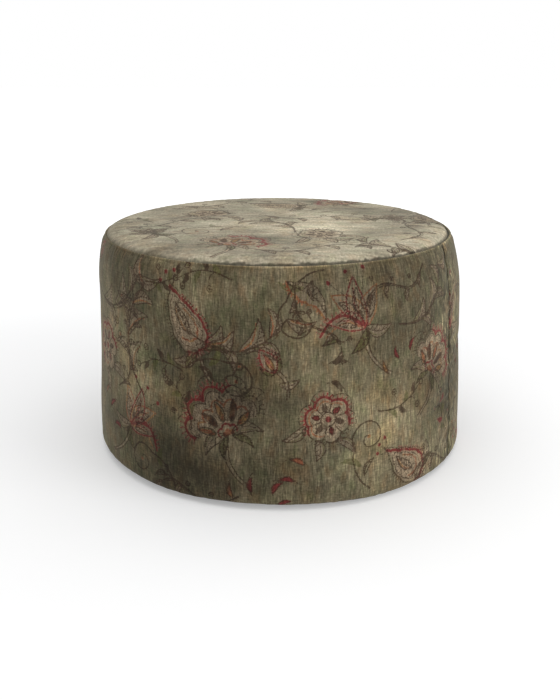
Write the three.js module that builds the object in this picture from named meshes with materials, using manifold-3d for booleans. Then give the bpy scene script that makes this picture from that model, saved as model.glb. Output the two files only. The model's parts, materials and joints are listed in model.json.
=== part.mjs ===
// A round upholstered tuffet: a plywood and timber drum with interlaced webbing, a foam seat and a
// sewn cover of one top panel and two side panels. Millimetres, +Z up, the origin on the floor under
// the middle of the seat. An azimuth is measured from the front (-Y) towards +X.
import * as THREE from "three";
import { mergeVertices } from "three/addons/utils/BufferGeometryUtils.js";
import Module from "manifold-3d";

const wasm = await Module();
wasm.setup();

// Whole seat
const seatDiameter = 600;
const seatHeight = 360;

// Cover: the top seam lies below the crown, the band leans in under the seam, and both of the seam's
// allowances are turned down inside
const coverThickness = 1.6;
const seamDrop = 8;
const shoulderHeight = 48;
const shoulderInset = 11;
const seamAllowance = 12;
const rimRoll = 4;
const hemRoll = 6;
const bandTurnUnder = 45;
const sideSeamGap = 0.6;

// Padding
const sidePaddingThickness = 8;
const waddingThickness = 8;
const waddingWrapThickness = 3;
const seatFoamThickness = 62;
const foamEdgeRadius = 12;

// Plywood rings, timber posts and the bent board round them
const plyThickness = 18;
const ringWidth = 62;
const ringArris = 1.5;
const postWidth = 45;
const postDepth = 33;
const postChamfer = 3;
const sideBoardThickness = 3;
const boardJointGap = 2;

// Webbing, interlaced over and under across the top ring
const webbingWidth = 50;
const webbingThickness = 1.6;
const webbingFold = 24;
const webbingEndInset = 6;
const webbingCrossingMargin = 2;
const webbingRampClearance = 4;

// Cloths
const platformClothThickness = 0.8;
const platformClothInset = 4;
const dustCoverThickness = 0.8;
const dustCoverInset = 12;

// Post screws, countersunk
const postScrewLength = 60;
const postScrewShank = 4.5;
const postScrewHead = 9;
const postScrewHeadDepth = 3.4;
const postScrewHeadEdge = 0.6;
const postScrewTip = 7;
const countersinkDepth = 0.5;

// Glides under the base, each held by one pan-head screw
const glideDiameter = 28;
const glideHeight = 6;
const glideChamfer = 1.5;
const glideInset = 30;
const glideCounterbore = 11;
const glideCounterboreDepth = 3.2;
const glideScrewLength = 21;
const glideScrewShank = 4;
const glideScrewHead = 9;
const glideScrewHeadDepth = 2.4;
const glideScrewHeadRound = 1.1;
const glideScrewTip = 5;
const driveSlotLength = 5;
const driveSlotWidth = 1.1;
const driveSlotDepth = 1.3;

// Clearances
const fitGap = 0.3;
const cutOverrun = 2;
const mergeTolerance = 0.0001;

// Counts, azimuths in degrees and shares
const facets = 52;
const boreFacets = 8;
const glideFacets = 24;
const rollSteps = 2;
const foldSteps = 4;
const foamEdgeSteps = 3;
const halfTurn = 180;
const fullTurn = 360;
const postCount = 6;
const glideCount = 6;
const stripsEachWay = 4;
const sideSeamAzimuth = 62;
const boardJointAzimuth = 180;
const webbingPitchShare = 0.295;
const domeShare = 0.5;
const domePower = 2;
const rimPower = 14;
const shoulderPower = 2.2;
const crownShares = [0, 0.4, 0.7, 0.87, 0.95, 1];
const shoulderShares = [0, 0.3, 0.6, 0.82, 1];

// The band's top edge, folded in over the seam, with the top panel's lip inside it
const coverRadius = seatDiameter / 2;
const seamLevel = seatHeight - seamDrop;
const shoulderLevel = seamLevel - shoulderHeight;
const lipBottom = seamLevel - seamAllowance;
const foldRadius = coverThickness + fitGap / 2;
const foldLevel = seamLevel - foldRadius;
const foldCentre = bandRadius(foldLevel) - foldRadius;
const lipRadius = foldCentre - foldRadius - fitGap;

// Radii, from the cover inwards
const paddingRadius = coverRadius - coverThickness - fitGap;
const boardRadius = paddingRadius - sidePaddingThickness - fitGap;
const ringRadius = boardRadius - sideBoardThickness - fitGap;
const ringInnerRadius = ringRadius - ringWidth;
const waddingRadius = lipRadius - coverThickness - fitGap;
const foamRadius = waddingRadius - waddingWrapThickness - fitGap;
const flangeInnerRadius = coverRadius - bandTurnUnder;
const dustCoverRadius = coverRadius - dustCoverInset;
const glideCircleRadius = coverRadius - glideInset;
const platformClothRadius = ringRadius - platformClothInset;
const webbingEndRadius = ringRadius - webbingEndInset;

// Webbing strips share the ring evenly. A strip stays level over each crossing, and rises or falls
// between two of them.
const webbingPitch = ringRadius * webbingPitchShare;
const halfPlateau = webbingWidth / 2 + webbingCrossingMargin;
const webbingRamp = webbingPitch - 2 * halfPlateau - webbingRampClearance;

// A post's corners stay inside the flats of the faceted ring, so that the board clears them
const ringFlatRadius = ringRadius * Math.cos(Math.PI / facets);
const postFaceRadius = Math.sqrt(ringFlatRadius ** 2 - (postWidth / 2) ** 2);
const postCircleRadius = postFaceRadius - postDepth / 2;

// Levels, from the floor up
const dustCoverBottom = glideHeight + fitGap;
const flangeBottom = dustCoverBottom + dustCoverThickness + fitGap;
const flangeTop = flangeBottom + coverThickness;
const frameBottom = flangeTop + fitGap;
const baseRingTop = frameBottom + plyThickness;

// Levels, from the crown down
const waddingTop = seatHeight - coverThickness - fitGap;
const foamTop = waddingTop - waddingThickness - fitGap;
const foamBottom = foamTop - seatFoamThickness;
const platformBottom = foamBottom - fitGap - platformClothThickness;
const webbingHigh = platformBottom - fitGap - webbingThickness;
const webbingLow = webbingHigh - fitGap - webbingThickness;
const frameTop = webbingLow - fitGap;
const topRingBottom = frameTop - plyThickness;

// Finishes
const finish = (color, roughness, metalness = 0) =>
  new THREE.MeshStandardMaterial({ color, roughness, metalness });
const materials = {
  cover: finish(0x7a745c, 0.9),
  plywood: finish(0xc9a673, 0.7),
  timber: finish(0xd8b98a, 0.75),
  board: finish(0x6e4f35, 0.6),
  foam: finish(0xe8dfb4, 0.95),
  wadding: finish(0xf2f1ec, 1),
  webbing: finish(0xa98c5c, 0.95),
  hessian: finish(0xb09468, 0.95),
  dustCloth: finish(0x1b1b1c, 0.95),
  glide: finish(0x3a2c22, 0.5),
  steel: finish(0xb9bcc0, 0.35, 1),
};

const tuffet = new THREE.Group();

function addMesh(name, geometry, material) {
  const mesh = new THREE.Mesh(geometry, material);
  mesh.name = name;
  tuffet.add(mesh);
  return mesh;
}

const radians = THREE.MathUtils.degToRad;

// The point at an azimuth on a circle round the seat's axis
function onCircle(radius, azimuth, level) {
  const angle = radians(azimuth);
  return new THREE.Vector3(radius * Math.sin(angle), -radius * Math.cos(angle), level);
}

// A closed [radius, level] outline as points that run counterclockwise
function outlinePoints(outline) {
  const points = outline.map(([x, y]) => new THREE.Vector2(x, y));
  return THREE.ShapeUtils.area(points) < 0 ? points.reverse() : points;
}

// A solid of revolution about Z. The outline closes on itself, or starts and ends on the axis.
function revolve(outline, segments = facets) {
  const points = outlinePoints(outline);
  const onAxis = points.filter((p) => p.x === 0).length === 2;
  if (onAxis) {
    while (points[0].x !== 0 || points[points.length - 1].x !== 0) points.push(points.shift());
  } else {
    points.push(points[0].clone());
  }
  return new THREE.LatheGeometry(points, segments).rotateX(Math.PI / 2);
}

// The part of such a solid between two azimuths, with a flat cap on the first and last of its rings
function revolveSector(outline, startAzimuth, sweepDegrees) {
  const points = outlinePoints(outline);
  const segments = Math.round((facets * sweepDegrees) / fullTurn);
  const loop = [...points, points[0].clone()];
  const wall = new THREE.LatheGeometry(loop, segments, radians(startAzimuth), radians(sweepDegrees));
  const lastRing = segments * loop.length;
  const caps = THREE.ShapeUtils.triangulateShape(points, []).flatMap(([a, b, c]) => [
    ...[a, b, c],
    ...[lastRing + a, lastRing + c, lastRing + b],
  ]);
  wall.setIndex([...wall.index.array, ...caps]);
  return wall.rotateX(Math.PI / 2);
}

// A geometry as a manifold-3d solid, and back
function toSolid(geometry) {
  const bare = geometry.clone();
  bare.deleteAttribute("normal");
  bare.deleteAttribute("uv");
  const merged = mergeVertices(bare, mergeTolerance);
  const mesh = new wasm.Mesh({
    numProp: 3,
    vertProperties: merged.attributes.position.array,
    triVerts: new Uint32Array(merged.index.array),
  });
  return new wasm.Manifold(mesh);
}

function fromSolid(solid) {
  const mesh = solid.getMesh();
  const geometry = new THREE.BufferGeometry();
  geometry.setAttribute("position", new THREE.BufferAttribute(mesh.vertProperties, 3));
  geometry.setIndex(new THREE.BufferAttribute(mesh.triVerts, 1));
  geometry.computeVertexNormals();
  return geometry;
}

function cut(geometry, tools) {
  return fromSolid(tools.reduce((solid, tool) => solid.subtract(toSolid(tool)), toSolid(geometry)));
}

// Heights of the crown's outer face: a shallow dome that rolls down faster near the rim
function crownLevel(radius) {
  const share = radius / lipRadius;
  const fall = domeShare * share ** domePower + (1 - domeShare) * share ** rimPower;
  return seatHeight - seamDrop * fall;
}

// The band's outer radius at a level: upright, then leaning in to the seam
function bandRadius(level) {
  const share = Math.max(0, (level - shoulderLevel) / shoulderHeight);
  return coverRadius - shoulderInset * share ** shoulderPower;
}

// Points of a quarter arc in the [radius, level] plane
function arcPoints(centreRadius, centreLevel, arcRadius, fromDegrees, toDegrees, steps) {
  return Array.from({ length: steps + 1 }, (_, i) => {
    const angle = radians(fromDegrees + ((toDegrees - fromDegrees) * i) / steps);
    return [centreRadius + arcRadius * Math.cos(angle), centreLevel + arcRadius * Math.sin(angle)];
  });
}

function topPanelOutline() {
  const flatRadius = lipRadius - rimRoll;
  const rimLevel = crownLevel(flatRadius);
  const outer = crownShares.map((share) => [flatRadius * share, crownLevel(flatRadius * share)]);
  const roll = arcPoints(flatRadius, rimLevel - rimRoll, rimRoll, 90, 0, rollSteps).slice(1);
  const innerRoll = rimRoll - coverThickness;
  const inner = arcPoints(flatRadius, rimLevel - rimRoll, innerRoll, 0, 90, rollSteps);
  const under = outer.slice(0, -1).reverse();
  return [
    ...outer,
    ...roll,
    [lipRadius, lipBottom],
    [lipRadius - coverThickness, lipBottom],
    ...inner,
    ...under.map(([radius, level]) => [radius, level - coverThickness]),
  ];
}

// The band's hem is turned under the frame, and its top edge is folded in over the seam
function sidePanelOutline() {
  const rise = shoulderShares.map((share) => shoulderLevel + (foldLevel - shoulderLevel) * share);
  const innerHem = hemRoll - coverThickness;
  return [
    [flangeInnerRadius, flangeBottom],
    ...arcPoints(coverRadius - hemRoll, flangeBottom + hemRoll, hemRoll, -90, 0, rollSteps),
    ...rise.map((level) => [bandRadius(level), level]),
    ...arcPoints(foldCentre, foldLevel, foldRadius, 0, halfTurn, foldSteps).slice(1),
    [foldCentre - foldRadius, lipBottom],
    [foldCentre - fitGap / 2, lipBottom],
    [foldCentre - fitGap / 2, foldLevel],
    ...rise.reverse().map((level) => [bandRadius(level) - coverThickness, level]),
    ...arcPoints(coverRadius - hemRoll, flangeBottom + hemRoll, innerHem, 0, -90, rollSteps),
    [flangeInnerRadius, flangeTop],
  ];
}

function sidePaddingOutline() {
  const top = lipBottom - fitGap;
  const bottom = flangeBottom + hemRoll;
  const rise = shoulderShares.map((share) => shoulderLevel + (top - shoulderLevel) * share);
  const inner = boardRadius + fitGap;
  return [
    [inner, bottom],
    [paddingRadius, bottom],
    ...rise.map((level) => [bandRadius(level) - coverThickness - fitGap, level]),
    [inner, top],
  ];
}

// The foam's top follows the crown, and its edge is softened by an arc
const foamFlatRadius = foamRadius - foamEdgeRadius;
const foamTopLevel = (radius) => crownLevel(radius) - (seatHeight - foamTop);
const foamArcLevel = foamTopLevel(foamFlatRadius) - foamEdgeRadius;

function seatFoamOutline() {
  const top = crownShares.map((share) => [foamFlatRadius * share, foamTopLevel(foamFlatRadius * share)]);
  return [
    [0, foamBottom],
    ...top,
    ...arcPoints(foamFlatRadius, foamArcLevel, foamEdgeRadius, 90, 0, foamEdgeSteps).slice(1),
    [foamRadius, foamBottom],
  ];
}

// Wadding over the foam: thin where the lip holds it, and full again on the foam's side below the lip
function seatWaddingOutline() {
  const arcRadius = foamEdgeRadius + fitGap;
  const rollRadius = waddingRadius - rimRoll;
  const top = crownShares.map((share) => [
    rollRadius * share,
    crownLevel(rollRadius * share) - coverThickness - fitGap,
  ]);
  const rimLevel = top[top.length - 1][1] - rimRoll;
  const under = crownShares.slice(0, -1).reverse();
  return [
    ...top,
    ...arcPoints(rollRadius, rimLevel, rimRoll, 90, 0, rollSteps).slice(1),
    [waddingRadius, lipBottom - fitGap],
    [boardRadius, lipBottom - fitGap],
    [boardRadius, foamBottom],
    [foamRadius + fitGap, foamBottom],
    ...arcPoints(foamFlatRadius, foamArcLevel, arcRadius, 0, 90, foamEdgeSteps),
    ...under.map((share) => [foamFlatRadius * share, foamTopLevel(foamFlatRadius * share) + fitGap]),
  ];
}

// A countersunk wood screw that points down, with its head's face at level zero
function postScrewOutline(clearance = 0) {
  const head = postScrewHead / 2 + clearance;
  const shank = postScrewShank / 2 + clearance;
  const mouth = clearance > 0 ? cutOverrun : 0;
  return [
    [0, mouth],
    [head, mouth],
    [head, -postScrewHeadEdge - clearance],
    [shank, -postScrewHeadDepth - clearance],
    [shank, -postScrewLength + postScrewTip],
    [0, -postScrewLength - clearance],
  ];
}

// A pan-head screw that points up, with its head's underside at level zero
function glideScrewOutline() {
  return [
    [0, -glideScrewHeadDepth],
    [glideScrewHead / 2 - glideScrewHeadRound, -glideScrewHeadDepth],
    [glideScrewHead / 2, -glideScrewHeadDepth / 2],
    [glideScrewHead / 2, 0],
    [glideScrewShank / 2, 0],
    [glideScrewShank / 2, glideScrewLength - glideScrewTip],
    [0, glideScrewLength],
  ];
}

// Plywood ring with eased edges, before its holes
function ringOutline(bottom) {
  const top = bottom + plyThickness;
  return [
    [ringInnerRadius, bottom + ringArris],
    [ringInnerRadius + ringArris, bottom],
    [ringRadius - ringArris, bottom],
    [ringRadius, bottom + ringArris],
    [ringRadius, top - ringArris],
    [ringRadius - ringArris, top],
    [ringInnerRadius + ringArris, top],
    [ringInnerRadius, top - ringArris],
  ];
}

const postAzimuths = Array.from({ length: postCount }, (_, i) => (fullTurn * i) / postCount);
const glideAzimuths = Array.from({ length: glideCount }, (_, i) => (fullTurn * (i + 0.5)) / glideCount);
const glideScrewLevel = glideCounterboreDepth;
const upperScrewLevel = frameTop - countersinkDepth;
const lowerScrewLevel = frameBottom + countersinkDepth;

// A geometry moved to an azimuth on a circle and a level; a lower post screw is first turned over
function placed(geometry, radius, azimuth, level, turnedOver = false) {
  if (turnedOver) geometry.rotateX(Math.PI);
  const spot = onCircle(radius, azimuth, level);
  return geometry.translate(spot.x, spot.y, spot.z);
}

function postScrewBores(level, turnedOver) {
  return postAzimuths.map((azimuth) => {
    const bore = revolve(postScrewOutline(fitGap), boreFacets);
    return placed(bore, postCircleRadius, azimuth, level, turnedOver);
  });
}

function glideScrewBores() {
  const radius = glideScrewShank / 2 + fitGap;
  const tip = glideScrewLevel + glideScrewLength + cutOverrun / 2;
  return glideAzimuths.map((azimuth) => {
    const bore = revolve([[0, 0], [radius, 0], [radius, tip], [0, tip]], boreFacets);
    return placed(bore, glideCircleRadius, azimuth, 0);
  });
}

function makeRings() {
  const base = revolve(ringOutline(frameBottom));
  const baseTools = [...postScrewBores(lowerScrewLevel, true), ...glideScrewBores()];
  addMesh("base_ring", cut(base, baseTools), materials.plywood);
  const top = revolve(ringOutline(topRingBottom));
  addMesh("top_ring", cut(top, postScrewBores(upperScrewLevel, false)), materials.plywood);
}

// A chamfered timber post, with a pilot hole in each end
function makePosts() {
  const x = postWidth / 2;
  const y = postDepth / 2;
  const c = postChamfer;
  const section = new THREE.Shape([
    new THREE.Vector2(-x, -y),
    new THREE.Vector2(x, -y),
    new THREE.Vector2(x, y - c),
    new THREE.Vector2(x - c, y),
    new THREE.Vector2(-x + c, y),
    new THREE.Vector2(-x, y - c),
  ]);
  const bottom = baseRingTop + fitGap;
  const length = topRingBottom - fitGap - bottom;
  postAzimuths.forEach((azimuth, i) => {
    const stick = new THREE.ExtrudeGeometry(section, { depth: length, bevelEnabled: false });
    const upper = revolve(postScrewOutline(fitGap), boreFacets).translate(0, 0, upperScrewLevel - bottom);
    const lower = revolve(postScrewOutline(fitGap), boreFacets)
      .rotateX(Math.PI)
      .translate(0, 0, lowerScrewLevel - bottom);
    const post = addMesh(`post_${i + 1}`, cut(stick, [upper, lower]), materials.timber);
    post.position.copy(onCircle(postCircleRadius, azimuth, bottom));
    post.rotation.z = radians(azimuth);
  });
}

function makePostScrews() {
  postAzimuths.forEach((azimuth, i) => {
    const upper = revolve(postScrewOutline(), boreFacets);
    const lower = revolve(postScrewOutline(), boreFacets);
    const top = placed(upper, postCircleRadius, azimuth, upperScrewLevel);
    const bottom = placed(lower, postCircleRadius, azimuth, lowerScrewLevel, true);
    addMesh(`top_screw_${i + 1}`, top, materials.steel);
    addMesh(`base_screw_${i + 1}`, bottom, materials.steel);
  });
}

// Thin board bent round the frame, with its two ends butted on a post
function makeSideBoard() {
  const inner = boardRadius - sideBoardThickness;
  const outline = [
    [inner, frameBottom],
    [boardRadius, frameBottom],
    [boardRadius, frameTop],
    [inner, frameTop],
  ];
  const gapDegrees = THREE.MathUtils.radToDeg(boardJointGap / boardRadius);
  const board = revolveSector(outline, boardJointAzimuth + gapDegrees / 2, fullTurn - gapDegrees);
  addMesh("side_board", board, materials.board);
}

// Half the length of a strip whose middle line lies at an offset from the centre
function stripHalfLength(offset) {
  const farEdge = Math.abs(offset) + webbingWidth / 2;
  return Math.sqrt(webbingEndRadius ** 2 - farEdge ** 2);
}

// The level of one strip along its run: low on the ring, and low or high at each crossing
function stripStations(halfLength, highCrossings) {
  const middle = (stripsEachWay - 1) / 2;
  const stations = [[-halfLength, webbingLow]];
  highCrossings.forEach((isHigh, i) => {
    if (!isHigh) return;
    const centre = (i - middle) * webbingPitch;
    const easeShares = [1, 0.7, 0.3, 0];
    const levelShares = [0, 0.2, 0.8, 1];
    easeShares.forEach((share, k) => {
      const level = webbingLow + (webbingHigh - webbingLow) * levelShares[k];
      stations.push([centre - halfPlateau - webbingRamp * share, level]);
    });
    [...easeShares].reverse().forEach((share, k) => {
      const level = webbingHigh - (webbingHigh - webbingLow) * levelShares[k];
      stations.push([centre + halfPlateau + webbingRamp * share, level]);
    });
  });
  stations.push([halfLength, webbingLow]);
  return stations;
}

// A strip seen from its edge, with each end folded back on top of itself
function stripShape(stations, halfLength) {
  const foldTop = webbingHigh + webbingThickness;
  const lowTop = webbingLow + webbingThickness;
  const inside = halfLength - webbingThickness;
  const foldEnd = halfLength - webbingFold;
  const fold = (side) => [
    [side * halfLength, foldTop],
    [side * foldEnd, foldTop],
    [side * foldEnd, webbingHigh],
    [side * inside, webbingHigh],
    [side * inside, lowTop],
  ];
  const upper = stations.slice(1, -1).map(([run, level]) => [run, level + webbingThickness]);
  const outline = [...stations, ...fold(1), ...upper.reverse(), ...fold(-1).reverse()];
  return new THREE.Shape(outline.map(([run, level]) => new THREE.Vector2(run, level)));
}

function makeWebbing() {
  const middle = (stripsEachWay - 1) / 2;
  const strips = Array.from({ length: stripsEachWay }, (_, i) => i);
  ["across", "along"].forEach((direction, way) => {
    strips.forEach((i) => {
      const offset = (i - middle) * webbingPitch;
      const halfLength = stripHalfLength(offset);
      const stations = stripStations(halfLength, strips.map((j) => (i + j + way) % 2 === 0));
      const shape = stripShape(stations, halfLength);
      const strip = new THREE.ExtrudeGeometry(shape, { depth: webbingWidth, bevelEnabled: false })
        .rotateX(Math.PI / 2)
        .translate(0, webbingWidth / 2, 0);
      const mesh = addMesh(`webbing_${direction}_${i + 1}`, strip, materials.webbing);
      if (direction === "across") {
        mesh.position.y = offset;
      } else {
        mesh.rotation.z = Math.PI / 2;
        mesh.position.x = offset;
      }
    });
  });
}

function disc(radius, bottom, thickness) {
  return revolve([[0, bottom], [radius, bottom], [radius, bottom + thickness], [0, bottom + thickness]]);
}

function makeCloths() {
  const platform = disc(platformClothRadius, platformBottom, platformClothThickness);
  addMesh("platform_cloth", platform, materials.hessian);
  const dust = disc(dustCoverRadius, dustCoverBottom, dustCoverThickness);
  addMesh("dust_cover", cut(dust, glideScrewBores()), materials.dustCloth);
}

function makePadding() {
  addMesh("side_padding", revolve(sidePaddingOutline()), materials.wadding);
  addMesh("seat_foam", revolve(seatFoamOutline()), materials.foam);
  addMesh("seat_wadding", revolve(seatWaddingOutline()), materials.wadding);
}

// The top panel with its seam allowance turned down, and two side panels with their hems turned under
function makeCover() {
  addMesh("top_panel", revolve(topPanelOutline()), materials.cover);
  const facetDegrees = fullTurn / facets;
  const seam = Math.round(sideSeamAzimuth / facetDegrees) * facetDegrees;
  const gapDegrees = THREE.MathUtils.radToDeg(sideSeamGap / coverRadius);
  const bores = glideScrewBores();
  [["side_panel_front", seam - halfTurn], ["side_panel_back", seam]].forEach(([name, start]) => {
    const panel = revolveSector(sidePanelOutline(), start + gapDegrees / 2, halfTurn - gapDegrees);
    addMesh(name, cut(panel, bores), materials.cover);
  });
}

function glideOutline() {
  const radius = glideDiameter / 2;
  const bore = glideScrewShank / 2 + fitGap;
  const seat = glideScrewLevel + fitGap;
  return [
    [glideCounterbore / 2, 0],
    [radius - glideChamfer, 0],
    [radius, glideChamfer],
    [radius, glideHeight],
    [bore, glideHeight],
    [bore, seat],
    [glideCounterbore / 2, seat],
  ];
}

function makeGlides() {
  const bar = (length, width) =>
    new THREE.BoxGeometry(length, width, driveSlotDepth * 2).translate(0, 0, -glideScrewHeadDepth);
  glideAzimuths.forEach((azimuth, i) => {
    const pad = addMesh(`glide_${i + 1}`, revolve(glideOutline(), glideFacets), materials.glide);
    pad.position.copy(onCircle(glideCircleRadius, azimuth, 0));
    const slots = [bar(driveSlotLength, driveSlotWidth), bar(driveSlotWidth, driveSlotLength)];
    const body = cut(revolve(glideScrewOutline(), boreFacets), slots);
    const screw = addMesh(`glide_screw_${i + 1}`, body, materials.steel);
    screw.position.copy(onCircle(glideCircleRadius, azimuth, glideScrewLevel));
  });
}

makeRings();
makePosts();
makePostScrews();
makeSideBoard();
makeWebbing();
makeCloths();
makePadding();
makeCover();
makeGlides();

export default tuffet;
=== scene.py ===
"""A round upholstered tuffet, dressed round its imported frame.

Lengths are in metres, +Z is up, and the origin is on the floor under the middle of the seat. An azimuth
is measured from the front (-Y) towards +X. Sizes come from the frame's nodes, so the pieces follow it.
"""

from __future__ import annotations

import json
import logging
import math
from collections.abc import Callable, Iterable, Sequence
from dataclasses import dataclass, field
from enum import Enum

import bmesh
import bpy
import numpy as np
from mathutils import Matrix, Vector

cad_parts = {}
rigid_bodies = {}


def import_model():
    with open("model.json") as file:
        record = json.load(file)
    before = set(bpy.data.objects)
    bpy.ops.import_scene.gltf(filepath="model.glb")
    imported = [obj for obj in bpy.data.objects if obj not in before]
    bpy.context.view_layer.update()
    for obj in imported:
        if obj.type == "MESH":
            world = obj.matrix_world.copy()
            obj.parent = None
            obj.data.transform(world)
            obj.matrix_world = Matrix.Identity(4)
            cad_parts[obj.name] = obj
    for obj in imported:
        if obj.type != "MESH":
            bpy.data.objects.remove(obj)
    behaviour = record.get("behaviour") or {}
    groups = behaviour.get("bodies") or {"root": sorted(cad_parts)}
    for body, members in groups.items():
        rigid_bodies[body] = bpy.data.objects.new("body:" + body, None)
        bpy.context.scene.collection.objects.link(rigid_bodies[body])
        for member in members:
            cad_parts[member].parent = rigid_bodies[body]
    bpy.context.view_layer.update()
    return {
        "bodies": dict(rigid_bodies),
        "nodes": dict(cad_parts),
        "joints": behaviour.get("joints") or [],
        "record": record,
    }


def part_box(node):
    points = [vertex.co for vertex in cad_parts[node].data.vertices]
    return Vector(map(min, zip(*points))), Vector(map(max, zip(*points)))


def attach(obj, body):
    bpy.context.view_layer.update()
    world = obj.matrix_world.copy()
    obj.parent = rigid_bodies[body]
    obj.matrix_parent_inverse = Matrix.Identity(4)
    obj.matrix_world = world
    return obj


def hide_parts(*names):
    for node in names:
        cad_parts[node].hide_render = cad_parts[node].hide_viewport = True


log = logging.getLogger("tuffet")

Array = np.ndarray
Colour = tuple[float, float, float, float]
Point = tuple[float, float]
Place = Point | Array
Socket = bpy.types.NodeSocket
Material = bpy.types.Material
Piece = bpy.types.Object

MM = 0.001
CLOTH_MAP = "cloth"
# The second layer carries the pale and stipple inks, the painted shading of creases, and the painted light
# with the dye blots.
INK_AND_LIGHT_LAYERS = ("ink_first", "ink_second")
TINY = 1e-12


def srgb(red: int, green: int, blue: int) -> Colour:
    """Turns a colour of 0 to 255 a channel into the linear colour that a shader takes.

    Args:
        red: The red channel.
        green: The green channel.
        blue: The blue channel.

    Returns:
        The linear colour with a full alpha.
    """
    shares = [c / 255 for c in (red, green, blue)]
    line = [s / 12.92 if s <= 0.04045 else ((s + 0.055) / 1.055) ** 2.4 for s in shares]
    return (line[0], line[1], line[2], 1.0)


def made(node: str) -> str:
    """Names the new piece that stands for a node of the frame."""
    return f"{node}_made"


def around(radius: float, azimuth: float, height: float) -> Vector:
    """Gives the point at an azimuth in degrees on a circle round the seat's axis."""
    angle = math.radians(azimuth)
    return Vector((radius * math.sin(angle), -radius * math.cos(angle), height))


def eased(share: Array | float) -> Array:
    """Eases a share in and out, between 0 and 1."""
    share = np.clip(share, 0, 1)
    return share * share * (3 - 2 * share)


def rise(value: Array, width: float) -> Array:
    """Rises evenly from 0 to 1 over a width."""
    return np.clip(value / width, 0, 1)


def bell(away: Array, width: float) -> Array:
    """Gives 1 at zero and falls off softly on both sides over a width."""
    return np.exp(-((away / width) ** 2))


def blended(
    grid: Array, rows: Sequence[Array], columns: Sequence[Array], down: Array, across: Array
) -> Array:
    """Blends the four cells of a grid round each place.

    Args:
        grid: The grid.
        rows: The numbers of the first and the second row.
        columns: The numbers of the first and the second column.
        down: The share of the second row.
        across: The share of the second column.

    Returns:
        The blended values.
    """
    low, high = (grid[row, columns[0]] * (1 - across) + grid[row, columns[1]] * across for row in rows)
    return low * (1 - down) + high * down


def smooth_noise(u: Array, v: Array, cell: Point, seed: int) -> Array:
    """Reads a seeded field of soft lumps.

    Args:
        u: First coordinates.
        v: Second coordinates, of the same shape.
        cell: The size of one lump along each coordinate.
        seed: The field's seed.

    Returns:
        Values from -1 to 1.
    """
    side = 256
    table = np.random.default_rng(seed).uniform(-1, 1, (side, side))
    x, y = np.asarray(u) / cell[0] + 91.0, np.asarray(v) / cell[1] + 57.0
    column, row = np.floor(x).astype(int), np.floor(y).astype(int)
    fx, fy = x - column, y - row
    fx, fy = fx**3 * (fx * (fx * 6 - 15) + 10), fy**3 * (fy * (fy * 6 - 15) + 10)
    a, b = column % side, row % side
    c, d = (column + 1) % side, (row + 1) % side
    return blended(table, (b, d), (a, c), fy, fx)


# Materials


class Nodes:
    """The nodes of one material or world, added and joined one call at a time."""

    def __init__(self, owner: Material | bpy.types.World, output: str) -> None:
        """Empties the owner's nodes and adds its output.

        Args:
            owner: The material or world.
            output: The kind of its output node.
        """
        owner.use_nodes = True
        self.tree = owner.node_tree
        self.tree.nodes.clear()
        self.surface = self.add(output, {}).inputs["Surface"]

    def add(self, kind: str, inputs: dict, **settings: object) -> bpy.types.Node:
        """Adds a node.

        Args:
            kind: The node's type without the word ShaderNode.
            inputs: What goes into its sockets, by name or number: a value or another node's socket.
            **settings: The node's own settings.

        Returns:
            The node.
        """
        node = self.tree.nodes.new(f"ShaderNode{kind}")
        for key, value in settings.items():
            setattr(node, key, value)
        for key, value in inputs.items():
            self.feed(node.inputs[key], value)
        return node

    def feed(self, socket: Socket, value: object) -> None:
        """Joins a socket to a socket, or sets it to a value."""
        if isinstance(value, Socket):
            self.tree.links.new(value, socket)
        elif isinstance(value, tuple) and len(value) > len(socket.default_value):
            socket.default_value = value[: len(socket.default_value)]
        else:
            socket.default_value = value

    def seen(self) -> Socket:
        """Gives 1 for a camera, glossy or transmission ray, and 0 for others."""
        path = self.add("LightPath", {})
        total = path.outputs["Is Camera Ray"]
        for name in ("Is Glossy Ray", "Is Transmission Ray"):
            total = self.add("Math", {0: total, 1: path.outputs[name]}, operation="MAXIMUM").outputs[0]
        return total

    def switch(self, plain: Socket, seen: Socket) -> None:
        """Shows one shader to the rays that seen() names, and another to the rest."""
        self.feed(self.surface, self.add("MixShader", {0: self.seen(), 1: plain, 2: seen}).outputs[0])


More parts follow.
